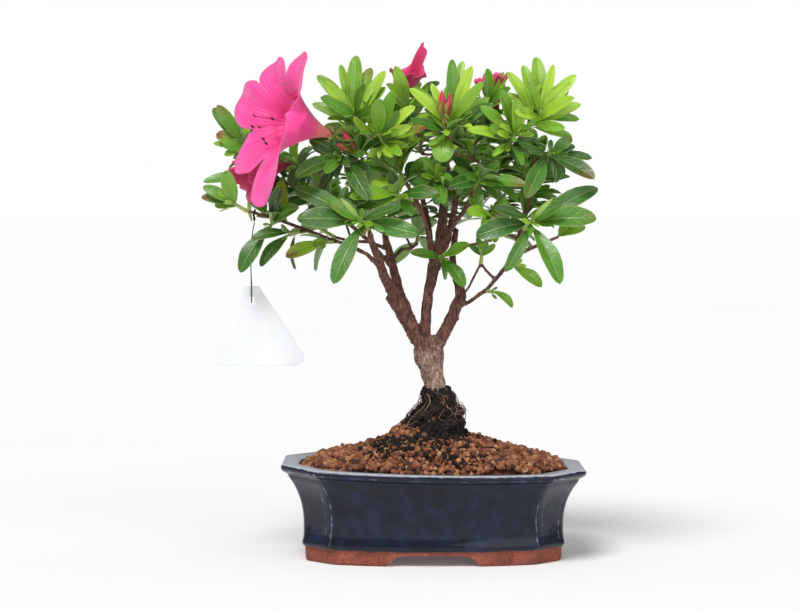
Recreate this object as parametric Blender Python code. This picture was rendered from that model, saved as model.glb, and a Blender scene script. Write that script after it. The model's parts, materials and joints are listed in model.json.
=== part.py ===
"""A satsuki azalea bonsai in its glazed pot, as separate closed solids.

The tree stands in the pot's own frame: +X to the right of its front, +Y to the back, +Z up,
with the pot centred on X and Y and its feet at Z = 0. Every size below is in millimetres, and
add_object turns it into metres. The last step slides the whole part sideways, so that the
world origin lies under the middle of the plant and pot together.
"""

import math
import random
from dataclasses import dataclass

import bmesh
import bpy
from mathutils import Matrix, Vector, noise
from mathutils.bvhtree import BVHTree

MM = 0.001
GAP = 0.3  # left between solids that touch
SHARP_FROM = math.radians(38)
UP = Vector((0, 0, 1))
FRONT = Vector((0, -1, 0))

# Pot: half sizes of the cut-cornered rectangle, from the rim down
RIM_HALF = (82.8, 50.0)
RIM_CUT = (18.4, 25.0)
BASE_CUT = (15.0, 16.0)
BOW = 8.0  # how far the long sides swell outwards
BOW_AT = 0.4  # share of the half side where the swell flattens
POT_HEIGHT = 51.5
LIP_HEIGHT = 3.2
RIM_WIDTH = 9.5
WALL_INSET = 12.2
FLOOR_TOP = 12.0
FLOOR_UNDER = 7.0
FOOT_WIDTH = 9.0
ARCH_HEIGHT = 6.0
FRONT_ARCH = (36.0, 52.0)  # width at its top and at the ground
SIDE_ARCH = (16.0, 26.0)
DRAIN_RADIUS = 7.0
DRAIN_X = 36.0
SCREEN_SIDE = 24.0
SCREEN_THICK = 1.2
SCREEN_BAR = 1.4
SCREEN_BARS = 4

# Growing medium and roots
SOIL_EDGE = 48.5
SOIL_DOME = 14.0
BALL_RADIUS = 25.0
BALL_FOOT_RADIUS = 19.0
BALL_BOTTOM = 24.0
BALL_SHOULDER = 60.0
BALL_TOP = 92.5
BALL_CENTRE = (-2.0, 0.0)
POCKET_GAP = 0.7
SOIL_SPLITS = (3, 2, 3, 4, 3, 2, 3, 2, 3, 4, 3, 2)  # columns on each side of the pot
SOIL_STEPS = 6
BALL_SIDES = 16
ROOTS = 6
ROOT_START = 8.0  # how far from the trunk's axis a root leaves the ball
TRUNK_RADIUS = 5.7
TRUNK_FOOT = 70.0
TRUNK_X = 1.0
SOCKET_GAP = 0.7

# Foliage
BLADE_THICK = 0.8
PETIOLE_WIDTH = 1.1
BLADE_STATIONS = ((0.42, 0.86), (0.80, 0.86))  # share of the way to the tip, share of the half width
CLEAR_THICK = 1.5  # blades of different shoots keep out of this thickness of each other
STEM_RADIUS = 1.1
STEM_TIP_RADIUS = 0.85
ROOT_OUT = 0.35
CROWN_CENTRE = Vector((-12, 4, 196))
CROWN_RADII = Vector((86, 76, 74))
GOLDEN_ANGLE = math.radians(137.5)
TRIES = 5

# Petals
PETAL_THICK = 0.7
TUBE_RADIUS = 2.0
TUBE_FLOOR = 0.25  # share of the tube's length that is solid at its foot
LOBE_GAP = math.radians(72)  # between evenly spread lobes; a wider gap is cut deeper

COLOURS = {
    "glaze": ((0.018, 0.024, 0.050), 0.18),
    "mesh_plastic": ((0.03, 0.03, 0.03), 0.5),
    "akadama": ((0.36, 0.15, 0.07), 0.95),
    "peat": ((0.018, 0.011, 0.008), 0.95),
    "bark": ((0.17, 0.085, 0.06), 0.85),
    "leaf": ((0.10, 0.30, 0.03), 0.4),
    "petal": ((1.0, 0.10, 0.36), 0.5),
    "old_petal": ((0.55, 0.01, 0.09), 0.55),
    "calyx": ((0.32, 0.36, 0.08), 0.6),
    "stamen": ((0.80, 0.08, 0.26), 0.5),
    "bud": ((0.70, 0.10, 0.10), 0.5),
    "thread": ((0.02, 0.02, 0.02), 0.7),
    "tag_plastic": ((0.86, 0.88, 0.90), 0.35),
}


# Mesh helpers


def material(name):
    """The named material, made once."""
    if name in bpy.data.materials:
        return bpy.data.materials[name]
    made = bpy.data.materials.new(name)
    made.use_nodes = True
    shader = made.node_tree.nodes["Principled BSDF"]
    colour, roughness = COLOURS[name]
    shader.inputs["Base Color"].default_value = (*colour, 1.0)
    shader.inputs["Roughness"].default_value = roughness
    shader.inputs["Metallic"].default_value = 0.0
    made.diffuse_color = (*colour, 1.0)
    return made


def add_object(name, points, faces, finish, collection=None):
    """A mesh object from points in millimetres, with its faces turned outwards."""
    mesh = bpy.data.meshes.new(name)
    mesh.from_pydata([Vector(p) * MM for p in points], [], faces)
    work = bmesh.new()
    work.from_mesh(mesh)
    bmesh.ops.recalc_face_normals(work, faces=work.faces)
    work.to_mesh(mesh)
    work.free()
    mesh.shade_smooth()
    mesh.set_sharp_from_angle(angle=SHARP_FROM)
    mesh.materials.append(material(finish))
    made = bpy.data.objects.new(name, mesh)
    (collection or bpy.context.scene.collection).objects.link(made)
    return made


def cutter(name, points, faces):
    """A helper solid that a Boolean uses and no render shows."""
    made = add_object(name, points, faces, "mesh_plastic")
    made.hide_render = True
    made.display_type = "WIRE"
    return made


def cut(target, tools):
    """Takes each tool's shape away from the target, whose faces are then shaded flat."""
    for tool in tools:
        modifier = target.modifiers.new(f"cut_{tool.name}", "BOOLEAN")
        modifier.operation = "DIFFERENCE"
        modifier.object = tool
    target.data.shade_flat()


def fuse(name, pieces, finish, solver="EXACT"):
    """One object that is the union of the pieces, each given as (points, faces)."""
    if len(pieces) == 1:
        return add_object(name, *pieces[0], finish)
    helpers = bpy.data.collections.new(f"{name}_repeats")
    bpy.context.scene.collection.children.link(helpers)
    body = add_object(name, *pieces[0], finish)
    others = [
        add_object(f"{name}_{i}", *piece, finish, helpers) for i, piece in enumerate(pieces[1:])
    ]
    modifier = body.modifiers.new("union", "BOOLEAN")
    modifier.operation = "UNION"
    modifier.operand_type = "COLLECTION"
    modifier.collection = helpers
    modifier.solver = solver
    graph = bpy.context.evaluated_depsgraph_get()
    joined = bpy.data.meshes.new_from_object(body.evaluated_get(graph))
    body.modifiers.clear()
    body.data = joined
    joined.name = name
    for other in others:
        bpy.data.objects.remove(other)
    bpy.data.collections.remove(helpers)
    return body


def loft(rings):
    """A closed solid through rings of equal length, with a flat cap on the first and last."""
    count = len(rings[0])
    points = [p for ring in rings for p in ring]
    faces = [tuple(range(count))]
    for r in range(len(rings) - 1):
        for i in range(count):
            a, b = r * count + i, r * count + (i + 1) % count
            faces.append((a, b, b + count, a + count))
    faces.append(tuple(range((len(rings) - 1) * count, len(rings) * count)))
    return points, faces


def box(low, high):
    """A box between two corners."""
    rings = [
        [(low[0], low[1], z), (high[0], low[1], z), (high[0], high[1], z), (low[0], high[1], z)]
        for z in (low[2], high[2])
    ]
    return loft(rings)


def ring_at(centre, direction, radius, sides, across=None):
    """Points of a circle round a centre, facing a direction, and the sideways vector it used."""
    direction = direction.normalized()
    if across is None:
        across = direction.orthogonal()
    across = (across - across.project(direction)).normalized()
    other = direction.cross(across)
    turns = [2 * math.pi * i / sides for i in range(sides)]
    return [centre + radius * (across * math.cos(t) + other * math.sin(t)) for t in turns], across


def tube(path, radii, sides, end_way=None):
    """A round bar along a path, with flat ends square to it, or its last one square to end_way."""
    rings, across = [], None
    for i, centre in enumerate(path):
        ahead = path[min(i + 1, len(path) - 1)] - path[max(i - 1, 0)]
        if end_way and i == len(path) - 1:
            ahead = end_way
        ring, across = ring_at(centre, ahead, radii[i], sides, across)
        rings.append(ring)
    return loft(rings)


def smooth(knots, steps):
    """Catmull-Rom points through knots of (x, y, z, radius), with steps in each span."""
    knots = [Vector(k) for k in knots]
    ends = [2 * knots[0] - knots[1], *knots, 2 * knots[-1] - knots[-2]]
    found = []
    for a, b, c, d in zip(ends, ends[1:], ends[2:], ends[3:]):
        for i in range(steps):
            t = i / steps
            curve = (2 * a - 5 * b + 4 * c - d) * t**2 + (3 * b - a - 3 * c + d) * t**3
            found.append(0.5 * (2 * b + (c - a) * t + curve))
    found.append(knots[-1])
    return [Vector(p[:3]) for p in found], [p[3] for p in found]


# Pot, screens, growing medium


def pot_outline(half, cut_size):
    """The corners of a rectangle with cut corners and swelling long sides, anticlockwise from the right."""
    x, y = half
    rib_x, side_y = x - cut_size[0], y - cut_size[1]
    mid_x, mid_y = rib_x * BOW_AT, y + BOW * (1 - BOW_AT**2)
    right = [(x, -side_y), (x, side_y), (rib_x, y), (mid_x, mid_y)]
    back_left = [(-px, py) for px, py in reversed(right[1:])]
    left = [(-x, -side_y), (-rib_x, -y), (-mid_x, -mid_y)]
    front_right = [(mid_x, -mid_y), (rib_x, -y)]
    return right + back_left + left + front_right


def pot_ring(z, inset, low=0.0):
    """One level of the pot. low runs from 0 at the rim to 1 at the base, and narrows the cut corners."""
    half = [size - inset for size in RIM_HALF]
    cut_size = [rim + (base - rim) * low for rim, base in zip(RIM_CUT, BASE_CUT)]
    return [Vector((x, y, z)) for x, y in pot_outline(half, cut_size)]


def inner_ring(z, gap=0.0):
    """The pot's inside at a height: from the rim's inner edge in to the floor."""
    low = (POT_HEIGHT - 2 - z) / (POT_HEIGHT - 2 - FLOOR_TOP)
    inset = RIM_WIDTH + (WALL_INSET + 6 - RIM_WIDTH) * low**0.8 + gap
    return pot_ring(z, inset, low)


def arch(width_top, width_foot, reach, along_x):
    """A bar with sloping sides that opens the way between two feet."""
    top, foot = width_top / 2, width_foot / 2 + 1
    sides = [(-foot, -1), (foot, -1), (top, ARCH_HEIGHT), (-top, ARCH_HEIGHT)]
    if along_x:
        return loft([[Vector((x, w, z)) for w, z in sides] for x in (-reach, reach)])
    return loft([[Vector((w, y, z)) for w, z in sides] for y in (-reach, reach)])


def build_pot():
    """The glazed pot: lip, groove, flared walls, clay base band, four feet and two drain holes."""
    levels = [(0.0, 13.9, 1.0), (1.2, 13.2, 1.0), (7.6, 13.0, 1.0), (8.6, 12.3, 1.0), (10.5, 11.5, 1.0)]
    levels.append((12.5, 12.0, 0.98))
    for step in range(6):
        up = step / 5
        levels.append((16 + 28.5 * up, WALL_INSET - 8.0 * up**2.6, 0.95 - 0.75 * up))
    levels += [(46.0, 3.0, 0.12), (POT_HEIGHT - LIP_HEIGHT, 0.3, 0.02), (POT_HEIGHT - 0.8, 0.0, 0.0)]
    levels += [(POT_HEIGHT, 1.0, 0.0), (POT_HEIGHT, RIM_WIDTH - 1.5, 0.0)]
    rings = [pot_ring(*level) for level in levels]
    rings += [inner_ring(z) for z in (POT_HEIGHT - 2, 38.0, 25.0, FLOOR_TOP)]
    pot = add_object("pot", *loft(rings), "glaze")
    recess = [pot_ring(z, WALL_INSET + FOOT_WIDTH, 1.0) for z in (-1.0, FLOOR_UNDER)]
    tools = [
        cutter("under_floor", *loft(recess)),
        cutter("front_arch", *arch(*FRONT_ARCH, 70, False)),
        cutter("side_arch", *arch(*SIDE_ARCH, 90, True)),
    ]
    for name, x in (("left", -DRAIN_X), ("right", DRAIN_X)):
        path = [Vector((x, 0, FLOOR_UNDER - 3)), Vector((x, 0, FLOOR_TOP + 3))]
        tools.append(cutter(f"drain_{name}", *tube(path, [DRAIN_RADIUS] * 2, 16)))
    cut(pot, tools)


def lattice(middle_x, low, high):
    """A square grid of bars as one closed solid, from its crossing lines."""
    pitch = (SCREEN_SIDE - SCREEN_BAR) / (SCREEN_BARS - 1)
    starts = [i * pitch - SCREEN_SIDE / 2 for i in range(SCREEN_BARS)]
    lines = [place for start in starts for place in (start, start + SCREEN_BAR)]
    count = len(lines)
    cells = [(i, j) for i in range(count - 1) for j in range(count - 1)]
    filled = [(i, j) for i, j in cells if i % 2 == 0 or j % 2 == 0]
    points = [(middle_x + x, y, z) for z in (low, high) for y in lines for x in lines]
    faces = []
    for i, j in filled:
        near, far = j * count + i, (j + 1) * count + i
        corners = [near, near + 1, far + 1, far]
        faces += [tuple(corners), tuple(c + count * count for c in corners)]
        for side, beside in enumerate(((i, j - 1), (i + 1, j), (i, j + 1), (i - 1, j))):
            if beside not in filled:
                a, b = corners[side], corners[(side + 1) % 4]
                faces.append((a, b, b + count * count, a + count * count))
    return points, faces


def build_screens():
    """A square of plastic mesh over each drain hole, under the growing medium."""
    low = FLOOR_TOP + GAP
    for name, x in (("left", -DRAIN_X), ("right", DRAIN_X)):
        add_object(f"drain_screen_{name}", *lattice(x, low, low + SCREEN_THICK), "mesh_plastic")


def soil_height(x, y):
    """The dome of the growing medium, higher against the root ball."""
    reach = max(abs(x) / 75, abs(y) / 49)
    near = max(0.0, 1 - math.hypot(x - BALL_CENTRE[0], y - BALL_CENTRE[1]) / 46)
    return SOIL_EDGE + SOIL_DOME * (1 - min(reach, 1) ** 3) + 6.0 * near**1.5


def around(corners):
    """The pot's inside outline at one level, split into the soil's columns."""
    found = []
    for i, count in enumerate(SOIL_SPLITS):
        start, end = corners[i], corners[(i + 1) % len(corners)]
        found += [start.lerp(end, j / count) for j in range(count)]
    return found


def build_soil():
    """The akadama bed, whose pebbly top is raised by a formula, with a socket for the root ball."""
    draw = random.Random(11)
    edge = around(inner_ring(SOIL_EDGE - 1.5, GAP + 0.2))
    rings = [around(inner_ring(z, GAP + 0.2)) for z in (FLOOR_TOP + GAP, 25.0, 38.0)] + [edge]
    middle = Vector((*BALL_CENTRE, 0))
    first = edge[0] - middle
    start = math.atan2(first.y, first.x)
    turns = [start + 2 * math.pi * i / len(edge) for i in range(len(edge))]
    ways = [Vector((math.cos(turn), math.sin(turn), 0)) for turn in turns]
    pocket = [middle + way * (BALL_RADIUS + POCKET_GAP) for way in ways]
    for step in range(1, SOIL_STEPS + 1):
        ring = []
        for outer, inner in zip(edge, pocket):
            flat = Vector((outer.x, outer.y, 0)).lerp(inner, step / SOIL_STEPS)
            lift = 0.0
            if step < SOIL_STEPS:
                flat += Vector((draw.uniform(-1, 1), draw.uniform(-1, 1), 0)) * 0.9
                lift = draw.uniform(-1.5, 1.5)
            ring.append(Vector((flat.x, flat.y, soil_height(flat.x, flat.y) + lift)))
        rings.append(ring)
    foot = [middle + way * (BALL_FOOT_RADIUS + POCKET_GAP) + UP * (BALL_BOTTOM - 0.5) for way in ways]
    soil = add_object("akadama", *loft([*rings, foot]), "akadama")
    half = SCREEN_SIDE / 2 + 0.4
    top = FLOOR_TOP + GAP + SCREEN_THICK + GAP
    tools = []
    for name, x in (("left", -DRAIN_X), ("right", DRAIN_X)):
        tools.append(cutter(f"screen_seat_{name}", *box((x - half, -half, 5), (x + half, half, top))))
    cut(soil, tools)


def ball_ring(z, radius, rough):
    """A circle of the root ball, with a crumbly edge where rough is over zero."""
    up = max(0.0, (z - BALL_SHOULDER) / (BALL_TOP - BALL_SHOULDER))
    middle = Vector((*BALL_CENTRE, z)).lerp(Vector((TRUNK_X, 0, z)), up)
    ring = []
    for i in range(BALL_SIDES):
        turn = 2 * math.pi * i / BALL_SIDES
        way = Vector((math.cos(turn), math.sin(turn), 0))
        bump = rough * noise.noise(way * 2.1 + UP * z * 0.13)
        ring.append(middle + way * (radius + bump))
    return ring


def build_root_ball():
    """The black peat and roots, standing out of the bed, with a socket for the trunk and looping roots."""
    levels = (
        (BALL_BOTTOM, BALL_FOOT_RADIUS, 0), (BALL_SHOULDER, BALL_RADIUS, 0), (67, 22.5, 2.5), (74, 16, 3.5),
        (80, 13.0, 3), (86, 10.4, 2), (BALL_TOP, 8.2, 0.4),
    )
    rings = [ball_ring(*level) for level in levels]
    foot = Vector((TRUNK_X, 0, 0))
    socket = (TRUNK_RADIUS + SOCKET_GAP) / math.cos(math.pi / BALL_SIDES)
    for z in (BALL_TOP, TRUNK_FOOT - GAP):
        ring, _ = ring_at(foot + UP * z, UP, socket, BALL_SIDES, Vector((1, 0, 0)))
        rings.append(ring)
    pieces = [loft(rings)]
    draw = random.Random(5)
    for i in range(ROOTS):
        turn = 2 * math.pi * (i + draw.uniform(-0.3, 0.3)) / ROOTS
        out = Vector((math.cos(turn), math.sin(turn), 0))
        side = out.cross(UP) * draw.uniform(-7, 7)
        high, low = draw.uniform(79, 86), draw.uniform(66, 72)
        knots = [
            (*(foot + out * ROOT_START + UP * high), 0.75),
            (*(foot + out * draw.uniform(15, 17) + side * 0.4 + UP * (high - 3)), 0.7),
            (*(foot + out * draw.uniform(20, 24) + side + UP * (low + 5)), 0.6),
            (*(foot + out * 17 + side * 1.3 + UP * (low - 4)), 0.55),
        ]
        path, radii = smooth(knots, 2)
        pieces.append(tube(path, radii, 4))
    fuse("root_ball", pieces, "peat", "MANIFOLD")


# Wood

# Limbs as (x, y, z, radius) from the foot outwards. Each starts inside the one it grows from.
LIMBS = {
    "trunk": [
        (1, 0, 70, 5.7), (1, 0, 82, 5.7), (1, 0, 94, 5.7), (-1.4, -0.5, 104, 6.0), (-2.4, -1, 113, 7.0),
        (-2.6, -1, 121, 5.5),
    ],
    "left_limb": [
        (-2, -1, 113, 4.6), (-8, -2.5, 120, 4.6), (-12.5, -3, 127, 4.4), (-16, -4, 134, 4.5),
        (-19.5, -5, 141.5, 5.2), (-21.5, -6, 145, 4.0),
    ],
    "left_front": [
        (-19.5, -5, 141, 3.6), (-23.6, -8, 148, 3.2), (-27, -13, 155, 2.7), (-30, -20, 164.5, 2.4),
        (-33.2, -28, 173, 2.0), (-34.5, -33, 178, 1.5),
    ],
    "left_back": [
        (-18, -3, 139, 3.4), (-20, 2, 151.5, 3.0), (-23, 6, 163, 2.6), (-26, 10, 174, 2.2),
        (-28, 12, 187, 1.9), (-28.5, 15, 202, 1.6), (-27, 18, 216, 1.2),
    ],
    "middle": [
        (-3.4, -1, 114, 3.4), (-4.4, -1, 124, 3.2), (-3.9, -1, 134, 3.0), (-2.8, -1, 144, 3.0),
        (0, -1, 157, 3.4), (3, 0, 166, 3.8), (4.4, 1, 176, 3.2), (6, 4, 194, 2.4), (7, 6, 208, 1.9),
        (8, 6, 220, 1.3),
    ],
    "middle_left": [(0.5, 1, 158, 2.2), (-1.5, 5, 173, 2.2), (-4, 10, 190, 1.8), (-8, 16, 206, 1.3)],
    "middle_right": [(3, 0, 162, 2.2), (8.5, 3, 175, 2.2), (12, 8, 192, 1.8), (15, 14, 208, 1.3)],
    "red_left": [
        (-0.5, -1, 160, 1.7), (-1.2, -5, 168, 1.6), (-2.2, -9, 177.5, 1.5), (-5.5, -13, 187, 1.4),
        (-9.6, -15, 196, 1.4), (-16.3, -18, 207.8, 1.3), (-21.5, -20, 215.5, 1.2),
    ],
    "red_right": [
        (4.5, 0, 170, 1.7), (9.5, -7, 180, 1.6), (16, -12, 189, 1.5), (23, -15, 199.6, 1.4),
        (31.6, -18, 211.6, 1.3), (37.5, -20, 219, 1.2),
    ],
    "right_limb": [
        (-2, -1, 112, 3.8), (3, -2, 118, 3.7), (7.5, -3, 126, 3.5), (10.8, -4, 133, 3.4),
        (15, -4, 143, 3.4), (14, -2, 150, 2.7), (11.5, 2, 157, 2.3), (10.5, 8, 166, 2.0),
        (13, 14, 180, 1.6),
    ],
    "right_twig": [
        (13.5, -4, 137, 1.7), (18, -5, 139, 1.4), (23, -7, 142.5, 1.3), (29.5, -9, 147.5, 1.3),
        (38, -11, 157.5, 1.3), (43, -12, 165, 1.5), (45.2, -12, 172, 1.5), (48.5, -11, 182, 1.5),
        (52, -10, 194, 1.4), (54, -11, 214, 1.3), (55, -13, 226, 1.0),
    ],
    "right_whorl_twig": [
        (44, -12, 167, 1.5), (46.5, -18, 172, 1.5), (47.5, -26, 175.5, 1.4), (47.8, -33, 178, 1.2),
    ],
    "right_side_twig": [
        (43, -12, 165, 1.4), (49, -14, 168, 1.5), (57.2, -15, 171.5, 1.3), (68, -15, 176, 1.0),
    ],
    "rosette_twig": [
        (15, -4, 142, 1.0), (19.6, -7, 148.5, 0.9), (23, -11, 156, 0.9), (25.6, -13, 161, 0.9),
    ],
    "left_low_twig": [
        (-28, -16, 158, 1.6), (-36, -19, 166.5, 1.4), (-46, -18, 171.5, 1.3), (-57, -17, 175, 1.2),
        (-70, -14, 180, 1.2), (-84, -12, 185, 1.1), (-98, -10, 189, 1.0),
    ],
    "left_upright": [
        (-33, -24, 171, 1.5), (-36, -16, 184, 1.5), (-37.7, -12, 196, 1.4), (-38.7, -12, 214, 1.2),
        (-39.5, -15, 228, 1.0),
    ],
    "left_side_twig": [
        (-21.5, 4, 157, 1.6), (-34, 8, 172, 1.5), (-52, 8, 188, 1.4), (-72, 6, 201, 1.2),
        (-86, 6, 208, 1.0),
    ],
}
KNOBS = [
    (-24.0, -6.5, 142.0, 2.6), (-17.5, -7.5, 144.0, 2.4), (-5.8, -2.8, 139.0, 1.3),
    (12.9, -5.4, 131.0, 1.4),
]


@dataclass(frozen=True)
class Leaf:
    """One blade, from the stem's axis to its tip, arched with its upper side along face."""

    root: Vector
    tip: Vector
    face: Vector
    width: float
    bend: float

    def at(self, s, v, lift):
        """The point s of the way to the tip, v of the half width to the side and lift over the middle."""
        chord = self.tip - self.root
        along, size = chord.normalized(), chord.length
        turn, half = self.bend * (s - 0.5), self.bend / 2
        run = (math.sin(turn) + math.sin(half)) / (2 * math.sin(half))
        rise = (math.cos(turn) - math.cos(half)) / (2 * math.sin(half))
        middle = self.root + chord * run + self.face * size * rise
        normal = self.face * math.cos(turn) + along * math.sin(turn)
        side = along.cross(self.face)
        return middle + side * v * self.width / 2 + normal * lift


def make_leaf(root, tip, width, hint, bend=0.55):
    """A leaf whose upper side is square to its chord and as near the hint as it can be."""
    along = (tip - root).normalized()
    face = hint - hint.project(along)
    return Leaf(root, tip, face.normalized(), width, bend)


def blade(leaf, thick=BLADE_THICK):
    """The closed solid of a leaf: a flat upper side over a keel, where the midrib stands out."""
    rim, keel = thick * 0.35, -thick * 0.65
    sections = [(0.0, PETIOLE_WIDTH / leaf.width), *BLADE_STATIONS]
    rings = [[leaf.at(s, -v, rim), leaf.at(s, v, rim), leaf.at(s, 0, keel)] for s, v in sections]
    points = [p for ring in rings for p in ring] + [leaf.at(1, 0, 0)]
    faces = [(0, 1, 2)]
    for first in range(0, len(points) - 4, 3):
        for i in range(3):
            j = (i + 1) % 3
            faces.append((first + i, first + j, first + j + 3))
            faces.append((first + i, first + j + 3, first + i + 3))
    end = len(points) - 1
    faces += [(end - 3, end - 2, end), (end - 2, end - 1, end), (end - 1, end - 3, end)]
    return points, faces


@dataclass(frozen=True)
class Shoot:
    """A leafy stem: where it leaves its twig, its growing tip, and its leaves, set by hand and by rule."""

    name: str
    base: tuple
    top: tuple
    placed: tuple = ()  # (tip x, y, z, width, share of the way up the stem where it starts)
    whorl: int = 6
    size: float = 1.0
    buds: tuple = ()  # (tip x, y, z)

    def on_stem(self, part):
        """A point on the stem."""
        return Vector(self.base).lerp(Vector(self.top), part)

    def axis(self):
        """The way the stem grows."""
        return (Vector(self.top) - Vector(self.base)).normalized()

    def outward(self):
        """The level way out of the crown at this shoot."""
        out = Vector(self.top) - CROWN_CENTRE
        return Vector((out.x, out.y, 0)).normalized()

    def rooted(self, middle, tip):
        """Where a leaf starts inside the stem, a little to its own side of the middle."""
        out = tip - middle
        return middle + (out - out.project(self.axis())).normalized() * ROOT_OUT

    def placed_leaf(self, spec):
        """A leaf set by hand, its upper side turned up and out of the crown."""
        tip = Vector(spec[:3])
        root = self.rooted(self.on_stem(spec[4]), tip)
        return make_leaf(root, tip, spec[3], UP * 0.55 + self.outward() * 0.3 + FRONT * 0.8)

    def whorl_leaf(self, index, attempt):
        """A leaf set by rule, spiralling up the stem, the lower ones larger and more spread."""
        draw = random.Random(f"{self.name} {index} {attempt}")
        up = index / max(self.whorl - 1, 1)
        axis = self.axis()
        across = axis.cross(Vector((0.3, 1, 0.1))).normalized()
        turn = index * GOLDEN_ANGLE + attempt * 0.75 + draw.uniform(-0.2, 0.2)
        out = Matrix.Rotation(turn, 3, axis) @ across
        tilt = math.radians(84 - 40 * up + draw.uniform(-9, 9) - 6 * attempt)
        length = (27.5 - 8.5 * up) * self.size * draw.uniform(0.88, 1.1) * (1 - 0.07 * attempt)
        middle = self.on_stem(0.35 + 0.62 * up)
        root = self.rooted(middle, middle + out)
        tip = middle + (axis * math.cos(tilt) + out * math.sin(tilt)) * length
        tip.z -= 0.07 * length
        width = length * draw.uniform(0.34, 0.42)
        hint = axis * 0.7 + UP * 0.4 + self.outward() * 0.7
        return make_leaf(root, tip, width, hint, draw.uniform(0.4, 0.75))


def mirrored(shoot, name, middle=7.0):
    """The same shoot on the other side of the middle of the crown."""

    def flip(place):
        return (2 * middle - place[0], *place[1:])

    placed = tuple(flip(spec) for spec in shoot.placed)
    buds = tuple(flip(spec) for spec in shoot.buds)
    return Shoot(name, flip(shoot.base), flip(shoot.top), placed, shoot.whorl, shoot.size, buds)


LEFT_WHORL = Shoot(
    "shoot_left_whorl", (-35.5, -36, 180.5), (-39.3, -47, 184.5),
    (
        (-8.6, -55, 177.5, 12, 0.8), (-72.9, -52, 185.9, 13, 0.9), (-53.5, -60, 151.9, 11, 0.7),
        (-75.5, -36, 203.5, 10.5, 0.5), (-54.5, -58, 194.5, 8, 1.0), (-17.8, -58, 192.2, 6.5, 0.9),
        (-36.8, -55, 177.0, 4.0, 0.8),
    ),
    0, 1.0, ((-49.5, -56, 197.0),),
)
TOP_LEFT = Shoot(
    "shoot_top_left", (-30.5, -21, 226.5), (-42.5, -31, 241),
    (
        (-62.9, -28, 263.7, 9, 0.9), (-50.0, -36, 268.2, 7, 1.0), (-41.7, -22, 273.5, 11, 1.0),
        (-34.0, -24, 268.0, 9.5, 0.9), (-58.6, -41, 258.5, 9, 0.85), (-60.5, -44, 250.2, 9.5, 0.7),
        (-65.5, -28, 247.8, 9, 0.6), (-36.0, -52, 256.5, 10.5, 0.95), (-26.0, -30, 265.0, 9, 0.8),
    ),
    0,
)
TOP_LEFT_INNER = Shoot(
    "shoot_top_left_inner", (-24.2, -22, 220.5), (-29.5, -34, 231),
    (
        (-29.5, -50, 249.5, 10.5, 0.95), (-21.2, -45, 254.6, 9.5, 0.9), (-10.5, -42, 246.0, 9.0, 0.8),
        (-3.8, -50, 233.5, 8.5, 0.6),
    ),
    4, 0.85,
)
LEFT_DARK = Shoot(
    "shoot_left_dark", (-46.0, -27, 217.5), (-51.5, -33, 219.5),
    (
        (-73.5, -48, 208.4, 10.5, 0.7), (-34.5, -54, 196.5, 10, 0.5), (-66.5, -36, 229, 9, 0.9),
        (-48.5, -47, 238, 9, 1.0),
    ),
    3, 0.85,
)

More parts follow.
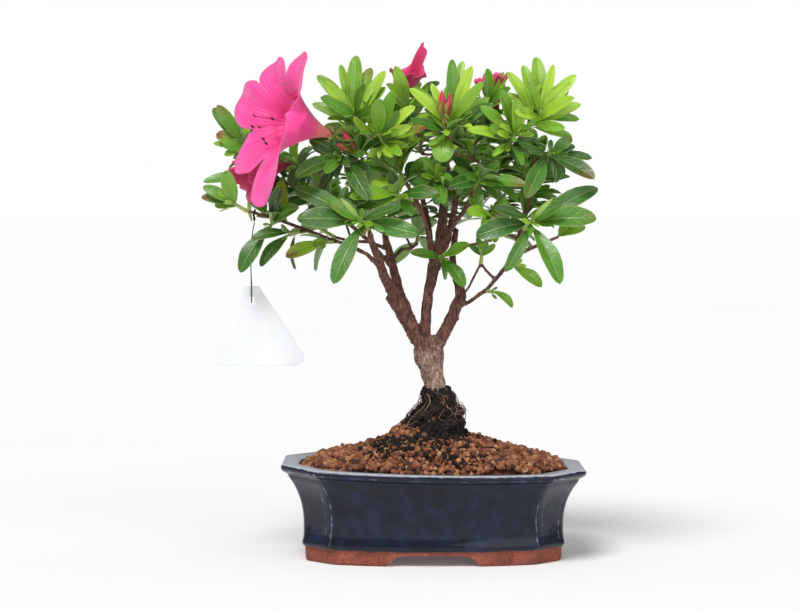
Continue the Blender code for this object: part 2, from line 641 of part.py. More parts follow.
SHOOTS = [
    LEFT_WHORL, mirrored(LEFT_WHORL, "shoot_right_whorl", 6.4), TOP_LEFT,
    mirrored(TOP_LEFT, "shoot_top_right", 6.8), TOP_LEFT_INNER,
    mirrored(TOP_LEFT_INNER, "shoot_top_right_inner", 6.8), LEFT_DARK,
    Shoot(
        "shoot_right_dark", (58.0, -26, 218.5), (62.5, -31, 220.5),
        ((84.6, -48, 206.8, 11, 0.7), (47.6, -54, 196.5, 10, 0.5), (74.0, -30, 229, 7, 0.9)), 3, 0.8,
    ),
    Shoot(
        "shoot_centre", (8.2, -24, 225.5), (8.6, -31, 238),
        (
            (9.4, -60, 218.4, 13, 0.35), (2.1, -43, 269.5, 9.5, 1.0), (9.7, -30, 271.5, 8.5, 1.0),
            (15.4, -25, 270.5, 8.5, 1.0), (20.2, -33, 267.5, 8.5, 0.95), (-7.5, -44, 262.5, 8.5, 0.9),
            (26.0, -44, 258.5, 8.5, 0.85), (-13.5, -38, 255.5, 8.5, 0.7), (31.5, -38, 247.5, 9, 0.6),
            (-16.5, -48, 240.0, 9, 0.5), (30.0, -52, 236.0, 9, 0.5),
        ),
        3, 0.8,
    ),
    Shoot(
        "shoot_crown_left", (-10.5, -8, 232), (-14.5, -14, 245),
        (
            (-17.3, -22, 273.3, 10, 1.0), (-20.5, -32, 267.2, 10, 0.95), (-27.0, -11, 275.4, 6, 0.9),
            (-25.4, -40, 257.5, 9, 0.8),
        ),
        4, 0.9,
    ),
    Shoot(
        "shoot_crown_right", (23.5, -8, 232), (27.5, -14, 245),
        (
            (34.2, -20, 272.2, 7, 0.95), (28.4, -34, 266.0, 9.5, 1.0), (40.0, -36, 256.0, 9, 0.8),
            (21.5, -12, 273.5, 9, 0.9),
        ),
        4, 0.9,
    ),
    Shoot(
        "shoot_outer_left", (-97, 9, 216.5), (-104, 12, 226),
        (
            (-119.0, 6, 248.5, 8, 0.95), (-122.5, 19, 247.5, 8, 0.9), (-119.9, 10, 232.8, 9.5, 0.8),
            (-115.5, 0, 225.8, 8, 0.5), (-101.0, 24, 241.5, 12, 1.0),
        ),
        3, 0.85,
    ),
    Shoot(
        "shoot_left_arching", (-91.5, 4, 207.5), (-98, 0, 209),
        ((-126.0, -4, 206.0, 7, 0.9), (-112.0, -18, 215.5, 8.5, 0.9), (-96.0, -22, 199.5, 9, 0.6)), 2, 0.8,
    ),
    Shoot(
        "shoot_left_tip", (-101.5, -9.6, 189.8), (-108.0, -10, 193.5),
        (
            (-112.3, -19, 212.0, 9.5, 0.9), (-125.5, -12, 203.8, 7, 0.8), (-120.0, -4, 194.6, 8, 0.7),
            (-126.8, -8, 198.0, 6.5, 1.0),
        ),
        0,
    ),
    Shoot(
        "shoot_left_hanging", (-85.5, -15.5, 184.2), (-88.0, -20, 182.5),
        ((-105.0, -27, 156.8, 11, 0.9), (-82.5, -28, 203.0, 8.0, 0.7), (-72.5, -36, 192.0, 9.5, 0.5)), 0,
        1.0, ((-86.8, -22, 199.5),),
    ),
    Shoot(
        "shoot_left_hanging_inner", (-73.5, -17.5, 178.8), (-77.0, -20.5, 178.2),
        ((-94.6, -24, 160.4, 10, 0.9), (-98.0, -30, 176.0, 9, 0.8)), 2, 0.7,
    ),
    Shoot(
        "shoot_red_tipped", (-55.0, -20, 173.2), (-57.5, -23, 173.0),
        ((-79.6, -33, 165.6, 9.5, 0.8), (-62.5, -44, 171.5, 9, 0.6)), 0,
    ),
    Shoot(
        "shoot_middle_limb", (4.2, -4.2, 165.0), (4.8, -9, 164.2),
        (
            (-12.9, -20, 167.2, 6.5, 0.9), (19.4, -21, 172.0, 7.5, 0.9), (17.0, -22, 149.4, 8.5, 0.8),
            (6.5, -20, 153, 3.5, 0.8),
        ),
        0,
    ),
    Shoot(
        "shoot_right_twig_upper", (41.0, -13.2, 160.0), (43.5, -16, 160.5), ((58.3, -27, 149.4, 8.5, 0.6),),
        0,
    ),
    Shoot(
        "shoot_right_twig_lower", (29.8, -10.8, 146.2), (31.4, -13.5, 146.0), ((43.4, -20, 138.6, 7, 0.7),),
        0,
    ),
    Shoot(
        "shoot_small_rosette", (25.8, -13.4, 162.0), (26.3, -14.5, 166),
        (
            (33.5, -16, 172, 4.0, 0.8), (19.5, -18, 171.5, 4.0, 0.8), (28.5, -22, 175.0, 4.0, 0.9),
            (24, -8, 175.5, 4.0, 0.9),
        ),
        0,
    ),
    Shoot(
        "shoot_light_green", (28.0, -22, 184), (31.5, -30, 188),
        (
            (17.5, -42, 190, 8, 0.8), (38.5, -46, 195.0, 8.5, 0.9), (26.5, -47, 178, 9, 0.7),
            (43.0, -40, 184.5, 6, 0.9),
        ),
        3, 0.65,
    ),
    Shoot(
        "shoot_front_low_left", (-16.5, -22, 196), (-19.5, -31, 199),
        ((-45.0, -46, 197.5, 9, 0.8), (2.0, -46, 199.5, 9, 0.8), (-16.5, -56, 207.5, 8.5, 1.0)), 4, 0.75,
    ),
    Shoot(
        "shoot_front_low_right", (22.5, -20, 203), (24.5, -30, 207),
        ((49.0, -46, 203.5, 8, 0.8), (8.0, -52, 203.0, 9, 0.8), (27.0, -56, 213.5, 9, 1.0)), 4, 0.75,
    ),
    Shoot(
        "shoot_front_centre", (2.0, -14, 203), (1.0, -26, 208),
        ((-6.0, -48, 217.5, 8.5, 0.9), (4.5, -49, 194.0, 9, 0.7)), 5, 0.75,
    ),
]

# Shoots that fill the rest of the crown: azimuth from +X towards the back, height angle, share of the
# crown's radius at the growing tip, leaves, leaf size
FILL = (
    (35, 6, 0.8, 7, 1.0), (68, 10, 0.82, 6, 1.0), (104, 8, 0.8, 6, 1.0), (138, 8, 0.82, 7, 1.0),
    (166, 22, 0.84, 6, 0.95), (12, 24, 0.84, 6, 0.95), (50, 40, 0.84, 6, 0.95), (88, 42, 0.84, 6, 0.95),
    (126, 42, 0.84, 6, 0.95), (84, 72, 0.84, 6, 0.9), (86, -22, 0.72, 5, 0.85), (150, -16, 0.74, 5, 0.85),
    (24, -18, 0.74, 5, 0.85),
)


def fill_shoots():
    """The shoots of the sides and the back, spread over the crown's dome."""
    found = []
    for i, (azimuth, height, share, leaves, size) in enumerate(FILL):
        a, h = math.radians(azimuth), math.radians(height)
        way = Vector((math.cos(a) * math.cos(h), math.sin(a) * math.cos(h), math.sin(h)))
        spread = Vector((way.x * CROWN_RADII.x, way.y * CROWN_RADII.y, way.z * CROWN_RADII.z))
        top = CROWN_CENTRE + spread * share
        base = top - (way * 0.8 + UP * 0.6).normalized() * 13
        found.append(Shoot(f"shoot_fill_{i + 1:02d}", tuple(base), tuple(top), (), leaves, size))
    return found


# Blooms


@dataclass(frozen=True)
class Bloom:
    """A funnel-shaped flower of five lobes."""

    name: str
    twig: tuple  # where its stalk leaves the twig
    foot: tuple  # where the petals' tube starts
    way: tuple  # the way it faces
    lobes: tuple  # (turn about its axis in degrees, radius and height of the lobe's tip)
    throat: tuple  # radius and height of the funnel's mouth
    finish: str
    columns: int = 20
    rows: int = 3
    notch: float = 0.42
    wave: float = 1.2

    def frame(self):
        """The bloom's axis, the upward direction across it and the sideways one."""
        axis = Vector(self.way).normalized()
        up = (UP - UP.project(axis)).normalized()
        return axis, up, axis.cross(up)

    def reach(self, turn):
        """How far along a lobe the edge runs at this turn, and the lobe tip's radius and height there."""
        lobes = sorted(self.lobes)
        turns = [math.radians(lobe[0]) for lobe in lobes]
        for i, start in enumerate(turns):
            end = turns[(i + 1) % len(turns)] + (2 * math.pi if i == len(turns) - 1 else 0)
            offset = (turn - start) % (2 * math.pi)
            if offset <= end - start:
                t = offset / (end - start)
                a, b = lobes[i], lobes[(i + 1) % len(lobes)]
                blend = t * t * (3 - 2 * t)
                radius, height = a[1] + (b[1] - a[1]) * blend, a[2] + (b[2] - a[2]) * blend
                depth = abs(2 * t - 1)
                notch = self.notch * min(1.0, LOBE_GAP / (end - start))
                return notch + (1 - notch) * math.sqrt(max(0.0, 1 - (1 - depth) ** 2.2)), radius, height
        return 1.0, lobes[0][1], lobes[0][2]

    def point(self, turn, s, inward=0.0):
        """A point of the petals: s from 0 at the tube's foot to 1 at the throat and 2 at the edge."""
        axis, up, side = self.frame()
        mouth_radius, mouth_height = self.throat
        if s <= 1:
            radius = TUBE_RADIUS + (mouth_radius - TUBE_RADIUS) * s**2.2
            height = mouth_height * s
        else:
            extent, tip_radius, tip_height = self.reach(turn)
            t = (s - 1) * extent
            rise = 2 * t - t * t
            radius = mouth_radius + (tip_radius - mouth_radius) * (0.35 * t + 0.65 * t * t)
            height = mouth_height + (tip_height - mouth_height) * rise
            height += self.wave * (s - 1) ** 2 * math.sin(turn * 11 + 1)
        radial = up * math.cos(turn) + side * math.sin(turn)
        return Vector(self.foot) + axis * height + radial * (radius - inward)

    def ring(self, s, inward=0.0):
        """One level of the petals."""
        return [self.point(2 * math.pi * i / self.columns, s, inward) for i in range(self.columns)]


def offset_rings(rings, thick):
    """Copies of open rings moved inwards along their surface normals."""
    count = len(rings[0])
    found = []
    for r, ring in enumerate(rings):
        moved = []
        for i, p in enumerate(ring):
            around = ring[(i + 1) % count] - ring[i - 1]
            along = rings[min(r + 1, len(rings) - 1)][i] - rings[max(r - 1, 0)][i]
            moved.append(p + along.cross(around).normalized() * thick)
        found.append(moved)
    return found


def build_bloom(bloom):
    """The petals as one thin funnel, and the green stalk with its cup of sepals."""
    axis, up, side = bloom.frame()
    levels = [0.0, TUBE_FLOOR, 0.62, 1.0] + [1 + (i + 1) / bloom.rows for i in range(bloom.rows)]
    outer = [bloom.ring(s) for s in levels]
    inner = offset_rings(outer, PETAL_THICK)
    middle = Vector(bloom.foot)
    if (inner[1][0] - middle).project(up).length > (outer[1][0] - middle).project(up).length:
        inner = offset_rings(outer, -PETAL_THICK)
    add_object(f"{bloom.name}_petals", *loft(outer + list(reversed(inner[1:]))), bloom.finish)

    start, end = Vector(bloom.twig), middle - axis * GAP
    leave = (end - start).normalized()
    bend = start.lerp(end, 0.45) - axis
    path = [start + leave * GAP, bend, end - axis * 2.2, end - axis * 1.1, end]
    rings, across = [], None
    radii = (0.95, 0.85, 1.0, 2.7, 2.9)
    for i, centre in enumerate(path):
        ahead = (leave, path[2] - path[0], axis, axis, axis)[i]
        ring, across = ring_at(centre, ahead, radii[i], 8, across)
        if i == len(path) - 1:
            ring = [centre + (p - centre) * (1.25 if j % 2 else 0.8) for j, p in enumerate(ring)]
        rings.append(ring)
    return add_object(f"{bloom.name}_stalk", *loft(rings), "calyx")


# Turn about the bloom's axis in degrees, how far out the tip lies, how far along it reaches, thickness
FILAMENTS = (
    (150, 9, 37, 0.32), (120, 12, 31, 0.3), (95, 5, 27, 0.3), (178, 13, 31, 0.3), (160, 15, 27, 0.3),
    (60, 8, 46, 0.4),
)


def build_stamens(bloom):
    """Five stamens and the pistil, joined on the ovary at the foot of the tube."""
    axis, up, side = bloom.frame()
    base = bloom.point(0, TUBE_FLOOR).lerp(bloom.point(math.pi, TUBE_FLOOR), 0.5)
    ovary = [base + axis * height for height in (GAP + 0.25, 3.0, 5.0)]
    pieces = [tube(ovary, [0.85, 0.85, 0.55], 5)]
    for turn, out, far, thick in FILAMENTS:
        t = math.radians(turn)
        radial = up * math.cos(t) + side * math.sin(t)
        tip = base + axis * far + radial * out
        knots = [base + axis * 2.5 + radial * 0.2, base + axis * far * 0.45 + radial * out * 0.12, tip]
        path, radii = smooth([(*k, thick) for k in knots], 2)
        pieces.append(tube(path, radii, 3))
        pieces.append(tube([tip - axis * 0.6, tip + axis * 1.1], [0.6, 0.5], 4))
    fuse(f"{bloom.name}_stamens", pieces, "stamen")


BLOOMS = [
    Bloom(
        "bloom_large", (-48.5, -34, 226.5), (-55.0, -37, 230.6), (-0.867, -0.423, 0.265),
        ((-25, 38, 32), (38, 36, 35), (76, 40, 41), (138, 41, 37), (198, 52, 36)), (11, 23), "petal", 25, 4,
        0.5, 1.4,
    ),
    Bloom(
        "bloom_lower", (-74.0, -6, 214.5), (-79.5, -9, 215.5), (-0.8, -0.28, -0.35),
        ((-20, 14, 27), (60, 12, 29), (130, 15, 25), (200, 16, 22), (270, 13, 26)), (7, 15), "old_petal",
        15, 2, 0.6, 1.0,
    ),
    Bloom(
        "bloom_top_left", (-19.5, -4, 240.0), (-20.0, -7, 245), (0.3, -0.18, 0.95),
        ((213, 5.5, 37.5), (285, 10, 23), (335, 10, 20), (40, 10, 20), (115, 11, 21)), (6.0, 12),
        "old_petal", 15, 2, 0.6, 1.2,
    ),
    Bloom(
        "bloom_top_right", (33.5, -4, 239.0), (34.0, -7, 243.5), (-0.1, -0.15, 0.96),
        ((-30, 10, 19), (40, 9, 21), (110, 10, 18), (180, 11, 17), (255, 9, 20)), (6.0, 11), "old_petal",
        15, 2, 0.6, 1.2,
    ),
]


def spindle(foot, tip, radius, sides=5):
    """A pointed bud."""
    way = tip - foot
    path = [foot, foot + way * 0.25, foot + way * 0.55, foot + way * 0.85, tip]
    return tube(path, [radius * 0.45, radius * 0.9, radius, radius * 0.55, radius * 0.12], sides)


# Flower buds, as (where the stalk leaves the twig, ((foot, tip, radius), ...))
BUD_CLUSTERS = {
    "bud_left": (
        (-41.5, -31, 219.5),
        (
            ((-43.0, -34, 223.5), (-49.3, -37, 233.8), 2.6),
            ((-45.5, -35, 222.5), (-52.5, -42.5, 225.8), 1.7),
        ),
    ),
    "bud_centre": (
        (5.0, -34.5, 236.0),
        (((4.8, -36, 240.5), (4.0, -38, 254.5), 1.9), ((6.5, -37, 240.5), (8.6, -40, 253.0), 1.5)),
    ),
}


def build_buds(name, start, buds):
    """Flower buds on one short stalk."""
    start = Vector(start)
    way = (Vector(buds[0][0]) - start).normalized()
    pieces = []
    for foot, tip, radius in buds:
        foot, tip = Vector(foot), Vector(tip)
        path = [start + way * GAP, start + way * 1.4, foot + (tip - foot) * 0.15]
        pieces.append(tube(path, [0.8, 0.8, 0.9], 4))
        pieces.append(spindle(foot, tip, radius))
    return fuse(name, pieces, "bud")


# The wood's own shape


def twig_path(start, base, way):
    """A twig's bent path from the wood to the foot of a shoot."""
    span = (base - start).length
    pull = start + (UP * 0.5 + (base - start).normalized()) * span * 0.35
    push = base - way * span * 0.35
    steps = 2 if span < 24 else 3
    path = []
    for i in range(steps + 1):
        t = i / steps
        ends = start * (1 - t) ** 3 + base * t**3
        path.append(ends + pull * 3 * t * (1 - t) ** 2 + push * 3 * t**2 * (1 - t))
    return path


def twig_to(base, way, skeleton, barred):
    """A twig from the best free place on the wood to a shoot's foot: path, radii and solid."""

    def cost(place):
        span = (place[0] - base).length
        return span + 1.6 * max(0.0, place[0].z - base.z + 6) + 0.6 * max(0.0, 12 - span)

    for start, thick in sorted(skeleton, key=cost)[:40]:
        path = twig_path(start, base, way)
        thick = min(thick * 0.8, 0.95 + (base - start).length * 0.012)
        radii = [thick + (STEM_RADIUS - thick) * i / (len(path) - 1) for i in range(len(path))]
        solid = tube(path, radii, 4, way)
        if not any(tree_of(*solid).overlap(tree) for tree in barred):
            return path, radii, solid
    print(f"no clear twig to {tuple(round(c) for c in base)}")
    return path, radii, solid


def build_wood(feet, keep_clear):
    """The trunk, limbs and twigs, fused into one branching solid.

    feet holds (name, place, way) of everything that a twig carries, and keep_clear the search
    trees of the stems that no other twig may cross.
    """
    pieces, skeleton = [], []
    for name, knots in LIMBS.items():
        path, radii = smooth(knots, 1)
        big = max(radii)
        sides = 12 if big > 5.5 else 8 if big > 3.5 else 5 if big > 2 else 4
        pieces.append(tube(path, radii, sides))
        if name not in ("trunk", "rosette_twig"):
            skeleton += list(zip(*smooth(knots, 2)))[3:]
    for x, y, z, radius in KNOBS:
        middle = Vector((x, y, z))
        ends = [middle - UP * radius, middle, middle + UP * radius]
        pieces.append(tube(ends, [radius * 0.4, radius, radius * 0.4], 6))
    for name, base, way in sorted(feet, key=lambda foot: (foot[1] - Vector((0, 0, 150))).length):
        barred = [tree for other, trees in keep_clear.items() if other != name for tree in trees]
        path, radii, solid = twig_to(base, way, skeleton, barred)
        pieces.append(solid)
        skeleton += list(zip(path, radii))[1:-1]
    return fuse("wood", pieces, "bark")


# Foliage on the wood


def tree_of(points, faces):
    """A search tree of a solid, in millimetres."""
    return BVHTree.FromPolygons([Vector(p) for p in points], [tuple(f) for f in faces])


def object_tree(made):
    """The search tree of an object that is already built."""
    mesh = made.data
    return tree_of([v.co / MM for v in mesh.vertices], [tuple(p.vertices) for p in mesh.polygons])


def stem_of(shoot):
    """A shoot's green stem, ending in its growing tip, and its leaf buds."""
    base, top, axis = Vector(shoot.base), Vector(shoot.top), shoot.axis()
    path = [base + axis * GAP, top, top + axis * 2.2]
    buds = [spindle(shoot.on_stem(0.8), Vector(tip), 2.1) for tip in shoot.buds]
    return [tube(path, [STEM_RADIUS, STEM_TIP_RADIUS, 0.3], 4), *buds]


def build_shoots(shoots, stems, others):
    """Every shoot's stem, buds and leaves, keeping the blades of different shoots apart."""
    taken = {name: [tree_of(*body) for body in bodies] for name, bodies in stems.items()}

    def clear(name, candidate):
        tree = tree_of(*candidate)
        if any(tree.overlap(other) for other in others):
            return False
        return not any(tree.overlap(t) for key, trees in taken.items() if key != name for t in trees)

    def settle(shoot, options):
        for leaf in options:
            if clear(shoot.name, blade(leaf, CLEAR_THICK)):
                stems[shoot.name].append(blade(leaf))
                taken[shoot.name].append(tree_of(*blade(leaf)))
                return
        print(f"no room for a leaf of {shoot.name}")

    for shoot in shoots:
        for spec in shoot.placed:
            leaf = shoot.placed_leaf(spec)
            shorter = make_leaf(leaf.root, leaf.root.lerp(leaf.tip, 0.84), leaf.width * 0.9, leaf.face, 0.3)
            settle(shoot, [leaf, shorter])
    for index in range(max(shoot.whorl for shoot in shoots)):
        for shoot in shoots:
            if index < shoot.whorl:
                settle(shoot, [shoot.whorl_leaf(index, attempt) for attempt in range(TRIES)])
    for shoot in shoots:
        fuse(shoot.name, stems[shoot.name], "leaf")


# Label on its thread

TIE = Vector((-97.6, -10.05, 188.9))  # on the twig's middle line
TIE_TWIG_RADIUS = 1.2
TIE_WIRE = 0.35
TIE_SIDES = 14
KNOT_BOTTOM = TIE.z - 4.6
TAG_HOLE = Vector((-99.2, -10.0, 141.0))
TAG_HOLE_RADIUS = 2.5
TAG_THICK = 0.9
TAG_APEX = TAG_HOLE.z + 8.0
TAG_APEX_HALF = 5.2
TAG_FOOT = 105.4
TAG_CORNER = 5.0
TAG_HALF = 24.6
TAG_MIDDLE = -95.4
THREAD_RADIUS = 0.28


def build_tag():
    """A rounded triangle of thin plastic with a hole near its apex."""
    turns = [math.radians(turn - 90) for turn in (0, 35, 70, 105, 120)]
    corner = [(TAG_CORNER * math.cos(turn), TAG_CORNER * math.sin(turn)) for turn in turns]
    reach = TAG_HALF - TAG_CORNER
    right = [(TAG_MIDDLE + reach + x, TAG_FOOT + TAG_CORNER + z) for x, z in corner]
    left = [(TAG_MIDDLE - reach - x, TAG_FOOT + TAG_CORNER + z) for x, z in reversed(corner)]
    slope = ((TAG_APEX_HALF, TAG_APEX - 1.5), (TAG_APEX_HALF - 1.5, TAG_APEX))
    apex = [(TAG_HOLE.x + x, z) for x, z in slope]
    apex += [(TAG_HOLE.x - x, z) for x, z in reversed(slope)]
    outline = right + apex + left
    faces = (TAG_HOLE.y - TAG_THICK / 2, TAG_HOLE.y + TAG_THICK / 2)
    tag = add_object("tag", *loft([[Vector((x, y, z)) for x, z in outline] for y in faces]), "tag_plastic")
    path = [TAG_HOLE + Vector((0, -3, 0)), TAG_HOLE + Vector((0, 3, 0))]
    cut(tag, [cutter("tag_hole", *tube(path, [TAG_HOLE_RADIUS] * 2, 16))])


def build_thread():
    """The thread from its knot under the twig, through the label's hole and back up against itself."""
    start = Vector((TIE.x, TIE.y, KNOT_BOTTOM - GAP))
    places = (
        (-98.0, -10.1, 181.5), (-99.4, -10.8, 172), (-99.4, -11.1, 160), (-99.2, -11.4, 149),
        (-99.2, -11.3, 142), (-99.2, -10.0, 140), (-99.2, -8.7, 142), (-99.2, -8.5, 149),
        (-99.3, -10.3, 154.5),
    )
    knots = [(*start, 0), (start.x, start.y, start.z - 1.5, 0), *((*place, 0) for place in places)]
    path, _ = smooth(knots, 1)
    curve = bpy.data.curves.new("thread", "CURVE")
    curve.dimensions = "3D"
    curve.bevel_depth = THREAD_RADIUS * MM
    curve.bevel_resolution = 1
    curve.use_fill_caps = True
    spline = curve.splines.new("POLY")
    spline.points.add(len(path) - 1)
    for point, place in zip(spline.points, path):
        point.co = (*(place * MM), 1.0)
    curve.materials.append(material("thread"))
    made = bpy.data.objects.new("thread", curve)
    bpy.context.scene.collection.objects.link(made)


def build_tie():
    """The loop that ties the thread round its twig, with its knot below."""
    along = Vector((-14, 2, 4)).normalized()
    down = (-UP + UP.project(along)).normalized()
    wide = TIE_TWIG_RADIUS + GAP + TIE_WIRE
    rings = []
    for i in range(TIE_SIDES):
        out = Matrix.Rotation(2 * math.pi * i / TIE_SIDES, 3, along) @ down
        ring, _ = ring_at(TIE + out * wide, out.cross(along), TIE_WIRE, 4, out)
        rings.append(ring)
    points = [p for ring in rings for p in ring]
    faces = []
    for i in range(TIE_SIDES):
        for j in range(4):
            near, far = i * 4, (i + 1) % TIE_SIDES * 4
            faces.append((near + j, near + (j + 1) % 4, far + (j + 1) % 4, far + j))
    top = TIE - UP * wide
    path = [top, top - UP * 1.3, Vector((top.x, top.y, KNOT_BOTTOM))]
    fuse("thread_tie", [(points, faces), tube(path, [0.5, 0.75, 0.45], 6)], "thread")


def centre_part(left_out):
    """Slides every solid so that the origin lies under the part's middle, not counting those left out."""
    bpy.context.view_layer.update()
    corners = [
        made.matrix_world @ Vector(corner)
        for made in bpy.data.objects
        if made.name not in left_out and not made.hide_render
        for corner in made.bound_box
    ]
    shift = Vector([-(min(c[i] for c in corners) + max(c[i] for c in corners)) / 2 for i in (0, 1)] + [0.0])
    for made in bpy.data.objects:
        made.location += shift


def main():
    """Builds the whole part in an empty scene."""
    for old in list(bpy.data.objects):
        bpy.data.objects.remove(old)
    shoots = SHOOTS + fill_shoots()
    build_pot()
    build_screens()
    build_soil()
    build_root_ball()
    stems = {shoot.name: stem_of(shoot) for shoot in shoots}
    keep_clear = {name: [tree_of(*body) for body in bodies] for name, bodies in stems.items()}
    feet = [(s.name, Vector(s.base), s.axis()) for s in shoots]
    for bloom in BLOOMS:
        keep_clear[bloom.name] = [object_tree(build_bloom(bloom))]
        start = Vector(bloom.twig)
        axis = bloom.frame()[0]
        feet.append((bloom.name, start, (Vector(bloom.foot) - axis * GAP - start).normalized()))
    for name, (start, buds) in BUD_CLUSTERS.items():
        keep_clear[name] = [object_tree(build_buds(name, start, buds))]
        feet.append((name, Vector(start), (Vector(buds[0][0]) - Vector(start)).normalized()))
    wood = build_wood(feet, keep_clear)
    build_stamens(BLOOMS[0])
    build_tag()
    build_thread()
    build_tie()
    beside = ("bloom", "bud", "thread_tie")
    blooms = [object_tree(made) for made in bpy.data.objects if made.name.startswith(beside)]
    build_shoots(shoots, stems, [object_tree(wood), *blooms])
    centre_part(("tag", "thread", "thread_tie"))


main()
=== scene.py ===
"""Looks of a satsuki azalea bonsai in its glazed pot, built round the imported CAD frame.

Sizes are in millimetres in the pot's own frame: +X to the right of its front, +Y to the back,
+Z up, with the pot centred on X and Y. Workshop moves each piece into the frame's metres.
"""

import json
import logging
import math
from dataclasses import dataclass, field
from enum import Enum
from math import cos, hypot, pi, radians, sin
from random import Random
from typing import NamedTuple

import bmesh
import bpy
import numpy as np
from bpy.types import ID, Material, Mesh, Node, NodeInputs, NodeSocket, NodeTree, Object
from mathutils import Matrix, Vector, noise
from mathutils.bvhtree import BVHTree

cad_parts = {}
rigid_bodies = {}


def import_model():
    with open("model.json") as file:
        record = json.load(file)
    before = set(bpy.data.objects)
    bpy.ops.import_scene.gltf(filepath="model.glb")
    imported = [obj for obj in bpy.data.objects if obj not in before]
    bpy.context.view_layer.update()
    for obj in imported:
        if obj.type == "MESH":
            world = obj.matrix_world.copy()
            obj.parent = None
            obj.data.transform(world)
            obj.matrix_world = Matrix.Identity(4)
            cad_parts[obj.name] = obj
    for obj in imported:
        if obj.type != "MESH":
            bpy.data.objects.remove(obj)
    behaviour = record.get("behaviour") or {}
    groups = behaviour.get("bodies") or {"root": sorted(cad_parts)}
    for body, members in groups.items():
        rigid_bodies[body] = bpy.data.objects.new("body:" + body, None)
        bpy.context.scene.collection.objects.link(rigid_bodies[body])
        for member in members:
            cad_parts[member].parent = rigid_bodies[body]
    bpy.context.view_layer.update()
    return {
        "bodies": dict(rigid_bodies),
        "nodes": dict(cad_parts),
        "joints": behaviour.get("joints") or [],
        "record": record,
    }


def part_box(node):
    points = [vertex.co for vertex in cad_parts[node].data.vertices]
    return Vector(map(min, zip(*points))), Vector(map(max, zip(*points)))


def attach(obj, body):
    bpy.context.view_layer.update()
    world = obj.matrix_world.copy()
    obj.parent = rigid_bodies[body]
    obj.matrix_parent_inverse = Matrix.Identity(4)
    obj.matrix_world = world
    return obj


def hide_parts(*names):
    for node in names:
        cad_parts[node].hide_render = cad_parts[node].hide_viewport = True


LOG = logging.getLogger("bonsai")
MM = 0.001
UP = Vector((0, 0, 1))
FRONT = Vector((0, -1, 0))


class Slot(Enum):
    """The record's material slots."""

    GLAZE = "glaze"
    MESH_PLASTIC = "mesh_plastic"
    AKADAMA = "akadama"
    PEAT = "peat"
    BARK = "bark"
    LEAF = "leaf"
    PETAL = "petal"
    OLD_PETAL = "old_petal"
    CALYX = "calyx"
    STAMEN = "stamen"
    BUD = "bud"
    THREAD = "thread"
    TAG_PLASTIC = "tag_plastic"


# Geometry helpers


@dataclass
class Solid:
    """Points, faces and per-point marks of one mesh under construction."""

    points: list = field(default_factory=list)
    faces: list = field(default_factory=list)
    marks: dict = field(default_factory=dict)

    def add(self, points: list, faces: list, **marks: object) -> None:
        """Appends another mesh; a mark is one number for all its points, or a number for each.

        Args:
            points: the positions.
            faces: point numbers of each face.
            marks: the marks by name.
        """
        first = len(self.points)
        self.points.extend(points)
        self.faces.extend(tuple(first + i for i in face) for face in faces)
        for name, value in marks.items():
            values = self.marks.setdefault(name, [0.0] * first)
            values.extend([float(value)] * len(points) if np.isscalar(value) else value)


def loft(rings: list, caps: bool = True) -> tuple:
    """A closed solid through rings of equal length.

    Args:
        rings: lists of points.
        caps: whether both ends are closed.

    Returns:
        Points and faces.
    """
    count = len(rings[0])
    points = [p for ring in rings for p in ring]
    faces = [tuple(reversed(range(count)))] if caps else []
    for r in range(len(rings) - 1):
        for i in range(count):
            a, b = r * count + i, r * count + (i + 1) % count
            faces.append((a, b, b + count, a + count))
    if caps:
        faces.append(tuple(range((len(rings) - 1) * count, len(rings) * count)))
    return points, faces


def ring_at(
    centre: Vector, direction: Vector, radius: float, sides: int, across: Vector | None = None
) -> tuple:
    """Points of a circle that faces a direction, and the sideways vector it used.

    Args:
        centre: its middle.
        direction: the way it faces.
        radius: its radius.
        sides: number of points.
        across: the sideways vector to start from.

    Returns:
        The points and the vector.
    """
    direction = direction.normalized()
    if across is None:
        across = direction.orthogonal()
    across = square_to(across, direction)
    other = direction.cross(across)
    turns = [2 * pi * i / sides for i in range(sides)]
    return [centre + radius * spoke(t, across, other) for t in turns], across


def tube(path: list, radii: list, sides: int) -> tuple:
    """A round bar along a path.

    Args:
        path: points along its middle.
        radii: the radius at each.
        sides: points round it.

    Returns:
        Points and faces.
    """
    rings, across = [], None
    for i, centre in enumerate(path):
        ahead = path[min(i + 1, len(path) - 1)] - path[max(i - 1, 0)]
        ring, across = ring_at(centre, ahead, radii[i], sides, across)
        rings.append(ring)
    return loft(rings)


def smooth_path(knots: list, steps: int) -> tuple:
    """Catmull-Rom points through knots of (x, y, z, radius), and the radius at each.

    Args:
        knots: what the path passes.
        steps: points from knot to knot.

    Returns:
        The points and the radii.
    """
    knots = [Vector(k) for k in knots]
    ends = [2 * knots[0] - knots[1], *knots, 2 * knots[-1] - knots[-2]]
    found = []
    for a, b, c, d in zip(ends, ends[1:], ends[2:], ends[3:]):
        for i in range(steps):
            t = i / steps
            curve = (2 * a - 5 * b + 4 * c - d) * t**2 + (3 * b - a - 3 * c + d) * t**3
            found.append(0.5 * (2 * b + (c - a) * t + curve))
    found.append(knots[-1])
    return [Vector(p[:3]) for p in found], [p[3] for p in found]


def square_to(vector: Vector, axis: Vector) -> Vector:
    """The part of a vector that stands square to an axis, at unit length."""
    return (vector - vector.project(axis)).normalized()


def spoke(turn: float, up: Vector, side: Vector) -> Vector:
    """The direction at a turn from up towards side."""
    return up * cos(turn) + side * sin(turn)


def clipped(value: float, low: float, high: float) -> float:
    """The value, held between two others."""
    return min(max(value, low), high)


def fade(value: float, start: float, end: float) -> float:
    """0 before start, 1 after end, and smooth between."""
    t = clipped((value - start) / (end - start), 0.0, 1.0)
    return t * t * (3 - 2 * t)


